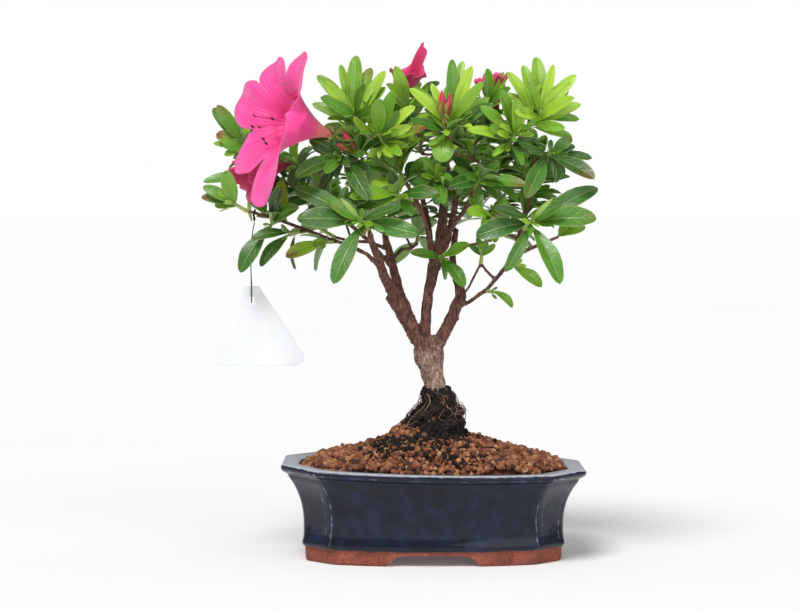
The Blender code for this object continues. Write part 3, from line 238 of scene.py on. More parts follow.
def table_value(table: tuple, at: float) -> float:
    """The value of a table of (place, value) at a place, smooth between its rows.

    Args:
        table: its rows, in order.
        at: the place.

    Returns:
        The value there.
    """
    for (a, low), (b, high) in zip(table, table[1:]):
        if at <= b:
            return low + (high - low) * fade(at, a, b)
    return table[-1][1]


def linked(name: str, data: ID) -> Object:
    """A new object of the scene that shows the given data.

    Args:
        name: its name.
        data: the mesh, curve, camera or light.

    Returns:
        The object.
    """
    made = bpy.data.objects.new(name, data)
    bpy.context.scene.collection.objects.link(made)
    return made


# Node helpers


def linear(code: str) -> tuple:
    """The linear colour of an sRGB hex code."""
    parts = [int(code[i : i + 2], 16) / 255 for i in (0, 2, 4)]
    return tuple(c / 12.92 if c <= 0.04045 else ((c + 0.055) / 1.055) ** 2.4 for c in parts)


class Graph:
    """Adds shader nodes to one tree and wires them."""

    def __init__(self, tree: NodeTree) -> None:
        """Works on the given tree."""
        self.tree = tree

    def node(self, kind: str, **settings: object) -> Node:
        """A new node with its settings.

        Args:
            kind: the node's type.
            settings: its properties.

        Returns:
            The node.
        """
        made = self.tree.nodes.new(kind)
        for name, value in settings.items():
            setattr(made, name, value)
        return made

    def feed(self, socket: NodeSocket, value: object) -> None:
        """Links a socket, or sets its constant.

        Args:
            socket: the input.
            value: an output, number, vector, colour or hex code.
        """
        if isinstance(value, NodeSocket):
            self.tree.links.new(value, socket)
        elif isinstance(value, str):
            socket.default_value = (*linear(value), 1.0)
        elif isinstance(value, tuple) and len(value) == 3 and socket.type == "RGBA":
            socket.default_value = (*value, 1.0)
        else:
            socket.default_value = value

    def place(self, stretch: tuple = (1, 1, 1)) -> NodeSocket:
        """Object coordinates, stretched by axis.

        Args:
            stretch: a factor for each axis.

        Returns:
            The coordinates.
        """
        found = self.node("ShaderNodeTexCoord").outputs["Object"]
        if stretch == (1, 1, 1):
            return found
        scaled = self.node("ShaderNodeVectorMath", operation="MULTIPLY")
        self.feed(scaled.inputs[0], found)
        scaled.inputs[1].default_value = stretch
        return scaled.outputs[0]

    def noise(self, size: float, detail: float = 4, stretch: tuple = (1, 1, 1)) -> NodeSocket:
        """Noise whose features are about size millimetres across.

        Args:
            size: size of its features in millimetres.
            detail: how fine it goes.
            stretch: a factor for each axis.

        Returns:
            The noise, from 0 to 1.
        """
        made = self.node("ShaderNodeTexNoise")
        self.feed(made.inputs["Vector"], self.place(stretch))
        made.inputs["Scale"].default_value = 1 / (size * MM)
        made.inputs["Detail"].default_value = detail
        return made.outputs[0]

    def cells(self, size: float, feature: str = "F1") -> NodeSocket:
        """The distance in a pattern of cells about size millimetres across.

        Args:
            size: size of a cell in millimetres.
            feature: which distance is meant.

        Returns:
            The distance.
        """
        made = self.node("ShaderNodeTexVoronoi", feature=feature)
        self.feed(made.inputs["Vector"], self.place())
        made.inputs["Scale"].default_value = 1 / (size * MM)
        return made.outputs["Distance"]

    def mark(self, name: str) -> NodeSocket:
        """A number that the mesh carries at each point."""
        return self.node("ShaderNodeAttribute", attribute_name=name).outputs["Fac"]

    def step(self, kind: str, *values: object) -> NodeSocket:
        """One arithmetic step, such as SUBTRACT.

        Args:
            kind: the operation.
            values: what it works on.

        Returns:
            The result.
        """
        made = self.node("ShaderNodeMath", operation=kind)
        for socket, value in zip(made.inputs, values):
            self.feed(socket, value)
        return made.outputs[0]

    def plus(self, a: object, b: object) -> NodeSocket:
        """The sum of two values."""
        return self.step("ADD", a, b)

    def times(self, a: object, b: object) -> NodeSocket:
        """The product of two values."""
        return self.step("MULTIPLY", a, b)

    def span(
        self, value: object, start: float, end: float, low: float = 0, high: float = 1
    ) -> NodeSocket:
        """Maps start..end to low..high smoothly, and holds outside it.

        Args:
            value: what is mapped.
            start: where the change starts.
            end: where it ends.
            low: result up to start.
            high: result from end on.

        Returns:
            The mapped value.
        """
        made = self.node("ShaderNodeMapRange", interpolation_type="SMOOTHSTEP")
        self.feed(made.inputs["Value"], value)
        for name, number in (("From Min", start), ("From Max", end), ("To Min", low), ("To Max", high)):
            made.inputs[name].default_value = number
        return made.outputs["Result"]

    def mix(self, share: object, a: object, b: object, kind: str = "MIX") -> NodeSocket:
        """A colour between two others.

        Args:
            share: how much of b.
            a: one colour.
            b: the other.
            kind: how they blend.

        Returns:
            The colour.
        """
        made = self.node("ShaderNodeMix", data_type="RGBA", blend_type=kind)
        self.feed(made.inputs[0], share)
        self.feed(made.inputs[6], a)
        self.feed(made.inputs[7], b)
        return made.outputs[2]

    def ramp(self, source: object, *stops: tuple) -> NodeSocket:
        """A colour ramp with stops of (position, hex code).

        Args:
            source: the place on the ramp.
            stops: its stops, in order.

        Returns:
            The colour.
        """
        made = self.node("ShaderNodeValToRGB")
        elements = made.color_ramp.elements
        while len(elements) < len(stops):
            elements.new(0.5)
        for element, (position, code) in zip(elements, stops):
            element.position = position
            element.color = (*linear(code), 1.0)
        self.feed(made.inputs[0], source)
        return made.outputs[0]

    def bump(self, height: object, depth: float, strength: float = 1.0) -> NodeSocket:
        """A normal from a height of depth millimetres.

        Args:
            height: the relief, from 0 to 1.
            depth: its depth.
            strength: its share.

        Returns:
            The normal.
        """
        made = self.node("ShaderNodeBump")
        made.inputs["Strength"].default_value = strength
        made.inputs["Distance"].default_value = depth * MM
        self.feed(made.inputs["Height"], height)
        return made.outputs[0]


def weathering() -> NodeTree:
    """A shared group: a colour made darker and lighter in patches, and the patches as a mask.

    Returns:
        The group's tree.
    """
    name = "weathering"
    if name in bpy.data.node_groups:
        return bpy.data.node_groups[name]
    tree = bpy.data.node_groups.new(name, "ShaderNodeTree")
    sockets = {"INPUT": ("Color", "Amount", "Scale"), "OUTPUT": ("Color", "Mask")}
    for way, socket in [(way, socket) for way, names in sockets.items() for socket in names]:
        kind = "NodeSocketColor" if socket == "Color" else "NodeSocketFloat"
        tree.interface.new_socket(socket, in_out=way, socket_type=kind)
    graph = Graph(tree)
    given = graph.node("NodeGroupInput")
    made = graph.node("NodeGroupOutput")
    patches = graph.node("ShaderNodeTexNoise")
    graph.feed(patches.inputs["Vector"], graph.place())
    graph.feed(patches.inputs["Scale"], given.outputs["Scale"])
    patches.inputs["Detail"].default_value = 6
    mask = graph.span(patches.outputs[0], 0.32, 0.68)
    dark = graph.mix(given.outputs["Amount"], given.outputs["Color"], (0.0, 0.0, 0.0))
    light = graph.mix(given.outputs["Amount"], given.outputs["Color"], (1.0, 1.0, 1.0), "SOFT_LIGHT")
    graph.feed(made.inputs["Color"], graph.mix(mask, dark, light))
    graph.feed(made.inputs["Mask"], mask)
    return tree


# Finishes


@dataclass(frozen=True)
class Finish:
    """A surface finish; paint() wires its colour, roughness and relief."""

    name: str

    def material(self) -> Material:
        """The finish's material, made once.

        Returns:
            The material.
        """
        if self.name in bpy.data.materials:
            return bpy.data.materials[self.name]
        made = bpy.data.materials.new(self.name)
        made.use_nodes = True
        self.paint(Graph(made.node_tree), made.node_tree.nodes["Principled BSDF"].inputs)
        return made

    def weathered(self, graph: Graph, colour: object, amount: float, size: float) -> tuple:
        """The colour and mask of the shared weathering group.

        Args:
            graph: the material's nodes.
            colour: the clean colour.
            amount: how strong the patches are.
            size: their size in millimetres.

        Returns:
            The colour and the mask.
        """
        group = graph.node("ShaderNodeGroup", node_tree=weathering())
        graph.feed(group.inputs["Color"], colour)
        group.inputs["Amount"].default_value = amount
        group.inputs["Scale"].default_value = 1 / (size * MM)
        return group.outputs["Color"], group.outputs["Mask"]

    def translucent(self, shader: NodeInputs, weight: float, depth: float, radius: tuple) -> None:
        """Lets light into the surface, depth millimetres deep and by colour channel.

        Args:
            shader: the shader's sockets.
            weight: how much light goes in.
            depth: how deep.
            radius: the share of each channel.
        """
        shader["Subsurface Weight"].default_value = weight
        shader["Subsurface Scale"].default_value = depth * MM
        shader["Subsurface Radius"].default_value = radius

    def paint(self, graph: Graph, shader: NodeInputs) -> None:
        """Wires the finish into the shader's sockets.

        Args:
            graph: the material's nodes.
            shader: the shader's sockets.
        """
        raise NotImplementedError


@dataclass(frozen=True)
class Glaze(Finish):
    """Dark blue glaze that breaks pale on edges, with a painted highlight there, over bare clay below its
    lower line.
    """

    line: float = 8.2
    body: tuple = ("10131E", "161C2C", "1F2942")
    # pale where the glaze breaks, and a painted highlight on the ribs, lip and rim top
    break_and_painted_highlight: str = "C3CBD6"
    clay: tuple = ("733A2E", "965342")

    def paint(self, graph: Graph, shader: NodeInputs) -> None:
        """Wires glaze, pale breaks with painted highlights, and clay."""
        depth = graph.noise(9, 5)
        body = graph.ramp(depth, (0.3, self.body[0]), (0.52, self.body[1]), (0.75, self.body[2]))
        wobble = graph.times(graph.step("SUBTRACT", graph.noise(5, 6), 0.5), 0.8)
        # the edge mark: where the glaze breaks pale, and where a highlight is painted on ribs, lip and rim
        # top
        edge = graph.span(graph.plus(graph.mark("edge"), wobble), 0.3, 0.8)
        freckles = graph.span(graph.cells(2.2), 0.14, 0.04, 0, 0.3)
        body = graph.mix(freckles, body, "2C3A5C")
        crackle = graph.span(graph.cells(1.7, "DISTANCE_TO_EDGE"), 0.05, 0.0, 0, 0.3)
        break_and_painted_highlight = graph.mix(crackle, self.break_and_painted_highlight, "4A566C")
        glazed = graph.mix(graph.times(edge, 0.85), body, break_and_painted_highlight)
        height = graph.node("ShaderNodeSeparateXYZ")
        graph.feed(height.inputs[0], graph.place())
        level = graph.plus(height.outputs[2], graph.times(graph.noise(14, 3), 1.6 * MM))
        below = graph.span(level, (self.line + 0.5) * MM, (self.line + 0.9) * MM, 1, 0)
        clayed = graph.step("MAXIMUM", below, graph.mark("bare"))
        clay = graph.ramp(graph.noise(1.6, 8), (0.3, self.clay[0]), (0.7, self.clay[1]))
        clay, _ = self.weathered(graph, clay, 0.25, 12)
        graph.feed(shader["Base Color"], graph.mix(clayed, glazed, clay))
        graph.feed(shader["Roughness"], graph.plus(graph.times(clayed, 0.6), 0.14))
        shader["Specular IOR Level"].default_value = 0.3
        relief = graph.plus(graph.noise(7, 3), graph.times(graph.noise(0.9, 4), clayed))
        graph.feed(shader["Normal"], graph.bump(relief, 0.35, 0.5))


@dataclass(frozen=True)
class Grains(Finish):
    """Dry baked-clay or peat grains; each carries its own tone in the mark shade."""

    tones: tuple = ((0.0, "3E241B"), (0.25, "6E402C"), (0.55, "94593B"), (0.85, "B07A54"), (1.0, "C09470"))
    patch: float = 0.22
    roughness: float = 0.95
    relief: float = 0.35

    def paint(self, graph: Graph, shader: NodeInputs) -> None:
        """Wires tones, dust and pits."""
        base = graph.ramp(graph.mark("shade"), *self.tones)
        colour, mask = self.weathered(graph, base, self.patch, 1.5)
        dust = graph.span(graph.noise(0.5, 6), 0.5, 0.75, 0, 0.12)
        graph.feed(shader["Base Color"], graph.mix(dust, colour, self.tones[-1][1]))
        graph.feed(shader["Roughness"], graph.step("SUBTRACT", self.roughness, graph.times(mask, 0.08)))
        graph.feed(shader["Normal"], graph.bump(graph.noise(0.45, 8), self.relief, 0.9))


@dataclass(frozen=True)
class Bark(Finish):
    """Reddish brown bark with long furrows, greyer low on the trunk and greener on high thin twigs.

    Its heights are in metres over the floor.
    """

    grey_below: tuple = (0.135, 0.112)
    green_above: tuple = (0.185, 0.215)

    def paint(self, graph: Graph, shader: NodeInputs) -> None:
        """Wires strips, lichen grey and furrows."""
        long, short = graph.noise(1.2, 8, (1, 1, 0.35)), graph.noise(0.7, 6)
        strips = graph.plus(graph.times(long, 0.55), graph.times(short, 0.45))
        twig = graph.ramp(strips, (0.34, "33201C"), (0.5, "664036"), (0.64, "94685A"))
        trunk = graph.ramp(strips, (0.36, "5C443C"), (0.5, "957667"), (0.62, "CDB2A2"))
        height = graph.node("ShaderNodeSeparateXYZ")
        graph.feed(height.inputs[0], graph.place())
        uneven = graph.plus(height.outputs[2], graph.times(graph.noise(7, 3), 0.02))
        low = graph.span(uneven, *self.grey_below)
        foot = graph.times(low, graph.span(graph.mark("thick"), 0.4, 0.8))
        wood = graph.mix(foot, twig, trunk)
        wood, _ = self.weathered(graph, wood, 0.3, 6)
        thin = graph.span(graph.mark("thick"), 0.14, 0.05)
        young = graph.times(thin, graph.span(height.outputs[2], *self.green_above))
        wood = graph.mix(graph.times(young, 0.7), wood, "9A7E48")
        dark = graph.span(strips, 0.42, 0.36, 0, 0.5)
        graph.feed(shader["Base Color"], graph.mix(dark, wood, "2E1A14"))
        graph.feed(shader["Roughness"], graph.span(strips, 0.3, 0.7, 0.95, 0.72))
        relief = graph.plus(strips, graph.times(graph.noise(0.6, 6), 0.4))
        graph.feed(shader["Normal"], graph.bump(relief, 0.8, 0.85))


@dataclass(frozen=True)
class Foliage(Finish):
    """Leathery leaves from dark to young green, with pale midrib, veins and edge."""

    def paint(self, graph: Graph, shader: NodeInputs) -> None:
        """Wires tone, painted sheen, veins, net, worn tips and underside."""
        tone = graph.plus(graph.mark("shade"), graph.times(graph.noise(7, 4), 0.22))
        green = graph.ramp(
            tone, (0.05, "1C4514"), (0.3, "356B18"), (0.55, "5A921C"), (0.78, "84B524"), (1.0, "AED43A")
        )
        # a painted bluish sheen in patches, standing in for the gloss's reflection
        painted_sheen = graph.span(graph.noise(11, 2), 0.52, 0.7, 0, 0.2)
        green = graph.mix(painted_sheen, green, "5C8258")
        across = graph.step("ABSOLUTE", graph.mark("across"))
        rib = graph.span(across, 0.09, 0.03)
        slant = graph.step("SUBTRACT", graph.mark("along"), graph.times(across, 0.2))
        wave = graph.step("SINE", graph.times(slant, 44.0))
        veins = graph.span(wave, 0.86, 1.0, 0, 0.35)
        net = graph.span(graph.cells(1.3, "DISTANCE_TO_EDGE"), 0.09, 0.0, 0, 0.2)
        pale = graph.step("MAXIMUM", graph.step("MAXIMUM", rib, veins), net)
        green = graph.mix(graph.times(pale, 0.42), green, "A4C866")
        rim = graph.span(across, 0.88, 1.0, 0, 0.5)
        green = graph.mix(rim, green, "A9BC6A")
        worn = graph.times(graph.span(graph.mark("along"), 0.55, 1.0), graph.mark("age"))
        green = graph.mix(graph.times(worn, graph.span(graph.noise(4, 5), 0.3, 0.6)), green, "8A4A2C")
        stalk = graph.span(graph.mark("along"), 0.14, 0.02, 0, 0.7)
        green = graph.mix(stalk, green, "A9B45A")
        under = graph.times(graph.mark("under"), 0.55)
        graph.feed(shader["Base Color"], graph.mix(under, green, "9DB77A"))
        graph.feed(shader["Roughness"], graph.span(graph.noise(3, 4), 0.3, 0.7, 0.26, 0.42))
        shader["Specular IOR Level"].default_value = 0.6
        self.translucent(shader, 0.12, 0.8, (0.4, 1.0, 0.15))
        relief = graph.step("SUBTRACT", graph.noise(2.2, 3), graph.times(pale, 0.9))
        graph.feed(shader["Normal"], graph.bump(relief, 0.28, 0.7))


@dataclass(frozen=True)
class Petals(Finish):
    """Thin petals: tube, throat, lobe and edge colours, flecks on the throat and fine veins."""

    tube: str = "F07A72"
    throat: str = "F23C88"
    lobe: str = "FA3E98"
    edge: str = "FF5AAA"
    fleck: str = "B0105A"

    def streaks(self, graph: Graph, count: float) -> NodeSocket:
        """Wavering lines that run along the petals, count of them in one radian."""
        return graph.step("SINE", graph.plus(graph.times(graph.mark("turn"), count), graph.noise(6, 3)))

    def paint(self, graph: Graph, shader: NodeInputs) -> None:
        """Wires the colours along the petal, its veins and its flecks."""
        wander = graph.times(self.streaks(graph, 22.0), 0.035)
        place = graph.step("MULTIPLY_ADD", graph.mark("along"), 0.5, wander)
        inner = ((0.06, self.tube), (0.16, self.tube), (0.32, self.throat))
        base = graph.ramp(place, *inner, (0.7, self.lobe), (1.0, self.edge))
        base, _ = self.weathered(graph, base, 0.12, 9)
        streak = self.streaks(graph, 70.0)
        veins = graph.span(streak, 0.2, 1.0, 0, 0.12)
        base = graph.mix(veins, base, self.throat)
        spots = graph.span(graph.cells(1.8), 0.42, 0.2)
        base = graph.mix(graph.times(spots, graph.mark("blotch")), base, self.fleck)
        graph.feed(shader["Base Color"], base)
        graph.feed(shader["Roughness"], graph.span(graph.noise(1.2, 4), 0.3, 0.7, 0.42, 0.6))
        self.translucent(shader, 0.2, 1.2, (1.0, 0.25, 0.4))
        shader["Sheen Weight"].default_value = 0.15
        relief = graph.plus(graph.times(streak, 0.35), graph.noise(3.0, 5))
        graph.feed(shader["Normal"], graph.bump(relief, 0.3, 0.6))


@dataclass(frozen=True)
class Blend(Finish):
    """A soft two-colour surface along a mark, with grain; for buds, stalks, plastic and thread."""

    low: str = "8A8A3A"
    high: str = "B6B85A"
    along: str = "along"
    grain: float = 1.5
    depth: float = 0.15
    roughness: float = 0.5

    def paint(self, graph: Graph, shader: NodeInputs) -> None:
        """Wires the blend and its grain."""
        share = graph.plus(graph.mark(self.along), graph.times(graph.noise(self.grain, 4), 0.3))
        colour = graph.mix(graph.span(share, 0.2, 1.1), self.low, self.high)
        colour, mask = self.weathered(graph, colour, 0.15, self.grain * 3)
        graph.feed(shader["Base Color"], colour)
        graph.feed(shader["Roughness"], graph.plus(graph.times(mask, 0.1), self.roughness))
        graph.feed(shader["Normal"], graph.bump(graph.noise(self.grain * 0.5, 5), self.depth, 0.7))


@dataclass(frozen=True)
class ClearPlastic(Finish):
    """Thin milky plastic that lets light through."""

    def paint(self, graph: Graph, shader: NodeInputs) -> None:
        """Wires the milky body and its light scuffs."""
        scuffs = graph.noise(16, 5, (1, 1, 0.6))
        graph.feed(shader["Base Color"], graph.ramp(scuffs, (0.3, "E4E7EA"), (0.7, "EFF1F3")))
        graph.feed(shader["Roughness"], graph.span(scuffs, 0.35, 0.65, 0.3, 0.4))
        self.translucent(shader, 0.3, 2.0, (1.0, 0.2, 0.1))
        graph.feed(shader["Normal"], graph.bump(graph.noise(2.5, 4), 0.02, 0.2))


@dataclass(frozen=True)
class Backdrop(Finish):
    """A plain pale floor."""

    def paint(self, graph: Graph, shader: NodeInputs) -> None:
        """Wires a near white with the faintest mottling."""
        graph.feed(shader["Base Color"], graph.ramp(graph.noise(400, 2), (0.3, "F3F3F3"), (0.7, "F6F6F6")))
        shader["Roughness"].default_value = 0.95
        shader["Specular IOR Level"].default_value = 0.0
        shader["Emission Color"].default_value = (1, 1, 1, 1)
        shader["Emission Strength"].default_value = 0.08


GLAZE = Glaze("blue_glaze")
AKADAMA = Grains("akadama_grains")
PEAT_TONES = ((0.0, "070505"), (0.45, "17100E"), (0.8, "3A241E"), (1.0, "7A5A48"))
PEAT = Grains("dark_peat", PEAT_TONES, 0.2, 0.97, 0.5)
ROOT = Grains("fine_roots", ((0.0, "1C1210"), (0.5, "54382C"), (1.0, "A98A6E")), 0.3, 0.85, 0.2)
BARK = Bark("azalea_bark")
LEAVES = Foliage("azalea_leaves")
FRESH = Petals("fresh_petals")
OLD = Petals("old_petals", "A8243C", "B8164A", "DC2866", "EC4A86", "8A0C3A")
CALYX = Blend("calyx_green", "7D7A34", "A6A85A", "along", 1.2, 0.2, 0.6)
STAMEN = Blend("stamen_pink", "E63C84", "3A0A20", "along", 0.8, 0.05, 0.5)
BUD = Blend("bud_red", "8A7A34", "CC3052", "along", 1.4, 0.15, 0.45)
THREAD = Blend("dark_thread", "1B1B1D", "2B2B2E", "along", 0.3, 0.05, 0.7)
SCREEN = Blend("screen_plastic", "141414", "262626", "along", 0.8, 0.05, 0.5)
TAG = ClearPlastic("milky_plastic")


# Placing pieces in the frame


@dataclass
class Workshop:
    """Turns solids in millimetres into pieces that ride on the frame."""

    frame: dict
    shift: Vector

    def add(
        self, name: str, solid: Solid, finish: Finish, slot: Slot, stands_for: tuple = (), angle: float = 40
    ) -> Object:
        """A dressed piece that rides on the root body.

        Args:
            name: the piece's name.
            solid: its points in millimetres, faces and marks.
            finish: what covers it.
            slot: the record's slot it stands for; passed on, not used.
            stands_for: CAD nodes that it replaces.
            angle: edges sharper than this many degrees stay sharp.

        Returns:
            The new object.
        """
        mesh = bpy.data.meshes.new(name)
        points = (np.array([tuple(p) for p in solid.points]) + np.array(self.shift)) * MM
        mesh.from_pydata(points.tolist(), [], solid.faces)
        for mark, values in solid.marks.items():
            mesh.attributes.new(mark, "FLOAT", "POINT").data.foreach_set("value", values)
        mesh.shade_smooth()
        mesh.set_sharp_from_angle(angle=radians(angle))
        mesh.materials.append(finish.material())
        made = linked(name, mesh)
        self.dress(made, slot, stands_for)
        return made

    def dress(self, made: Object, slot: Slot, stands_for: tuple) -> None:
        """Lets an object ride on the frame and stand for its CAD nodes.

        Args:
            made: the object.
            slot: its slot; not used.
            stands_for: names of the nodes.
        """
        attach(made, "root")
        if stands_for:
            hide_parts(*stands_for)
        count = sum(len(p.vertices) - 2 for p in made.data.polygons) if made.type == "MESH" else 0
        LOG.info("%s: %d triangles, for %s", made.name, count, ", ".join(stands_for) or "no CAD node")

    def cad_mesh(self, node: str) -> tuple:
        """A CAD node's welded points in the pot's millimetres, and its triangles.

        Args:
            node: the node's name.

        Returns:
            Points and faces.
        """
        shown = self.frame["nodes"][node]
        place = shown.matrix_world
        mesh = shown.data
        points = [(place @ v.co) / MM - self.shift for v in mesh.vertices]
        known, index, kept = {}, [], []
        for p in points:
            key = (round(p.x, 3), round(p.y, 3), round(p.z, 3))
            if key not in known:
                known[key] = len(kept)
                kept.append(p)
            index.append(known[key])
        faces = [tuple(index[i] for i in polygon.vertices) for polygon in mesh.polygons]
        return kept, [face for face in faces if len(set(face)) == len(face)]


# Pot

POT_HEIGHT = 51.5
RIM_WIDTH = 9.5
WALL_INSET = 12.2
FLOOR_TOP = 12.0


@dataclass(frozen=True)
class Outline:
    """The pot's plan at one level: a rectangle with cut corners, softened, and swelling long sides.

    It is drawn in from the rim's by inset, and low goes from 0 at the rim to 1 at the foot.
    """

    inset: float
    low: float
    half: tuple = (82.8, 50.0)
    rim_cut: tuple = (18.4, 25.0)
    base_cut: tuple = (15.0, 16.0)
    bow: float = 8.0
    corner_round: float = 2.2
    long_steps: int = 30
    short_steps: int = 8
    round_steps: int = 6
    tilt: float = 1.5
    sag: float = 1.2

    def corners(self) -> list:
        """The eight corners, anticlockwise from the right side's front one.

        Returns:
            Eight points at height 0.
        """
        x, y = (size - self.inset for size in self.half)
        cut_x, cut_y = (rim + (base - rim) * self.low for rim, base in zip(self.rim_cut, self.base_cut))
        right = [(x, -(y - cut_y)), (x, y - cut_y), (x - cut_x, y)]
        left = [(-(x - cut_x), y), (-x, y - cut_y), (-x, -(y - cut_y))]
        return [Vector(p) for p in [*right, *left, (-(x - cut_x), -y), (x - cut_x, -y)]]

    def swelling(self, p: Vector) -> Vector:
        """Moves a point of a long side outwards by the bow."""
        bow = self.bow * max(0.0, 1 - (p.x / self.corners()[2].x) ** 2)
        return Vector((p.x, p.y + math.copysign(bow, p.y)))

    def plan(self) -> tuple:
        """Points round the outline, and how near each lies to one of the ribs.

        Returns:
            The points, and the nearness of each.
        """
        corners = self.corners()
        # ribs holds the strength of the pale glaze break and painted highlight along each rib
        points, ribs = [], []
        for i, corner in enumerate(corners):
            before, after = corners[i - 1], corners[(i + 1) % len(corners)]
            start = corner + (before - corner).normalized() * self.corner_round
            end = corner + (after - corner).normalized() * self.corner_round
            for step in range(self.round_steps + 1):
                t = step / self.round_steps
                points.append(start * (1 - t) ** 2 + corner * 2 * t * (1 - t) + end * t**2)
                ribs.append(0.47 * math.exp(-(((2 * t - 1) / 0.45) ** 2)))
            far = after + (corner - after).normalized() * self.corner_round
            long_side = i in (2, 6)
            steps = self.long_steps if long_side else self.short_steps
            for step in range(1, steps):
                p = end.lerp(far, step / steps)
                near = min((p - end).length, (p - far).length)
                points.append(p)
                ribs.append(0.4 * math.exp(-(((near - 2.6) / 0.8) ** 2)))
        rib_x, side_y = corners[2].x, abs(corners[1].y)
        bowed = [self.swelling(p) if abs(p.x) < rib_x and abs(p.y) > side_y else p for p in points]
        return bowed, ribs

    def ring(self, z: float) -> list:
        """The outline at a height, with the rim a little out of true.

        Args:
            z: height in millimetres.

        Returns:
            Its points.
        """
        found = []
        for p in self.plan()[0]:
            warp = -self.tilt * p.x / self.half[0]
            if p.y < 0:
                warp -= self.sag * max(0.0, 1 - (p.x / 73) ** 2)
            found.append(Vector((p.x, p.y, z + warp * fade(z, 14, 50))))
        return found


def inner_outline(z: float, gap: float = 0.0) -> Outline:
    """The pot's inside at a height."""
    low = (POT_HEIGHT - 2 - z) / (POT_HEIGHT - 2 - FLOOR_TOP)
    return Outline(RIM_WIDTH + (WALL_INSET + 6 - RIM_WIDTH) * max(low, 0) ** 0.8 + gap, low)


@dataclass
class Pot:
    """The glazed pot: soft lip, groove, flared walls, glaze roll, clay feet and two drain holes."""

    shop: Workshop
    foot_width: float = 9.0
    floor_under: float = 7.0
    arch_height: float = 6.0
    front_arch: tuple = (36.0, 52.0)
    side_arch: tuple = (16.0, 26.0)
    drain_radius: float = 7.0
    drain_x: float = 36.0

    def levels(self) -> list:
        """Rows of (height, inset, lowness, edge) from the feet up and over the rim.

        Returns:
            The rows, in order.
        """
        # edge: pale glaze break and painted highlight, on the foot roll, along the lip and on the rim top
        rows = [(0.0, 14.6, 1.0, 0), (0.5, 13.7, 1.0, 0), (1.6, 13.2, 1.0, 0), (5.0, 13.1, 1.0, 0)]
        rows += [(7.4, 13.1, 1.0, 0), (8.0, 12.7, 1.0, 0), (8.7, 12.0, 1.0, 0.2), (9.7, 11.5, 1.0, 0.2)]
        rows += [(10.8, 11.4, 1.0, 0.1), (12.2, 11.8, 0.98, 0), (13.6, 12.1, 0.97, 0)]
        for step in range(15):
            up = step / 14
            rows.append((16 + 28.5 * up, WALL_INSET - 8.0 * up**2.6, 0.95 - 0.75 * up, 0.0))
        rows += [(45.2, 3.9, 0.16, 0.0), (45.9, 3.6, 0.12, 0), (46.6, 2.9, 0.08, 0), (47.3, 1.7, 0.05, 0.0)]
        rows += [(47.9, 0.8, 0.03, 0.25), (48.6, 0.25, 0.01, 0.4), (49.4, 0.0, 0, 0.05), (50.3, 0.0, 0, 0.1)]
        rows += [(51.0, 0.4, 0, 0.6), (51.4, 1.1, 0, 1.0), (51.5, 2.4, 0, 0.95), (51.45, 5.0, 0, 0.9)]
        rows += [(51.35, 7.2, 0, 0.95), (51.0, 8.6, 0, 1.0), (50.0, 9.4, 0, 0.6), (48.6, 9.7, 0.02, 0.1)]
        return rows

    def build(self) -> None:
        """Builds the body, cuts its arches, recess and drains, and dresses it."""
        rings, edges, bare = [], [], []
        for z, inset, low, edge in self.levels():
            outline = Outline(inset, low)
            ribs = outline.plan()[1]
            rings.append(outline.ring(z))
            # pale break and painted highlight along the ribs, full on the walls, weaker on the rim
            share = 0.0 if z < 10 else 1.0 if z < 50 else 0.3
            edges += [max(edge, rib * share) for rib in ribs]
            bare += [0.0] * len(ribs)
        for z in (47.0, 44.0, 38.0, 25.0, FLOOR_TOP):
            outline = inner_outline(z)
            rings.append(outline.ring(z))
            edges += [0.0] * len(rings[-1])
            bare += [0.0 if z > 45 else 1.0] * len(rings[-1])
        solid = Solid()
        solid.add(*loft(rings), edge=edges, bare=bare)
        body = self.shop.add("pot_body", solid, GLAZE, Slot.GLAZE, ("pot",), 55)
        self.cut(body)

    def cut(self, body: Object) -> None:
        """Takes the recess, arches and drain holes out of the body.

        Args:
            body: the pot, still whole.
        """
        recess = [Outline(WALL_INSET + self.foot_width, 1.0).ring(z) for z in (-1.0, self.floor_under)]
        shapes = [loft(recess), self.arch(self.front_arch, 70, False), self.arch(self.side_arch, 90, True)]
        for x in (-self.drain_x, self.drain_x):
            ends = [Vector((x, 0, self.floor_under - 3)), Vector((x, 0, FLOOR_TOP + 3))]
            shapes.append(tube(ends, [self.drain_radius] * 2, 32))
        tools = []
        for points, faces in shapes:
            mesh = bpy.data.meshes.new("pot_tool")
            mesh.from_pydata([(Vector(p) + self.shop.shift) * MM for p in points], [], faces)
            work = bmesh.new()
            work.from_mesh(mesh)
            bmesh.ops.recalc_face_normals(work, faces=work.faces)
            work.to_mesh(mesh)
            work.free()
            tool = linked("pot_tool", mesh)
            tools.append(tool)
            modifier = body.modifiers.new("cut", "BOOLEAN")
            modifier.operation = "DIFFERENCE"
            modifier.object = tool
        graph = bpy.context.evaluated_depsgraph_get()
        cut = bpy.data.meshes.new_from_object(body.evaluated_get(graph))
        body.modifiers.clear()
        body.data = cut
        for tool in tools:
            bpy.data.objects.remove(tool)

    def arch(self, widths: tuple, reach: float, along_x: bool) -> tuple:
        """A bar with sloping, rounded sides that opens the way between two feet.

        Args:
            widths: how wide it is on top and at the foot.
            reach: half its length.
            along_x: whether it runs along x.

        Returns:
            Points and faces.
        """
        top, foot = widths[0] / 2, widths[1] / 2 + 1
        half = [(foot, -1), (foot - 1.4, 0.5), (top + 5.4, 2.0), (top + 3.2, 4.1), (top + 0.9, 5.5)]
        half.append((top - 2.2, self.arch_height))
        sides = [(-w, z) for w, z in half] + [(w, z) for w, z in reversed(half)]
        if along_x:
            return loft([[Vector((x, w, z)) for w, z in sides] for x in (-reach, reach)])
        return loft([[Vector((w, y, z)) for w, z in sides] for y in (-reach, reach)])


# Growing medium

BALL_CENTRE = (-2.0, 0.0)
BALL_RADIUS = 25.0
TRUNK_X = 1.0
SOIL_EDGE = 48.5
SOIL_DOME = 14.0


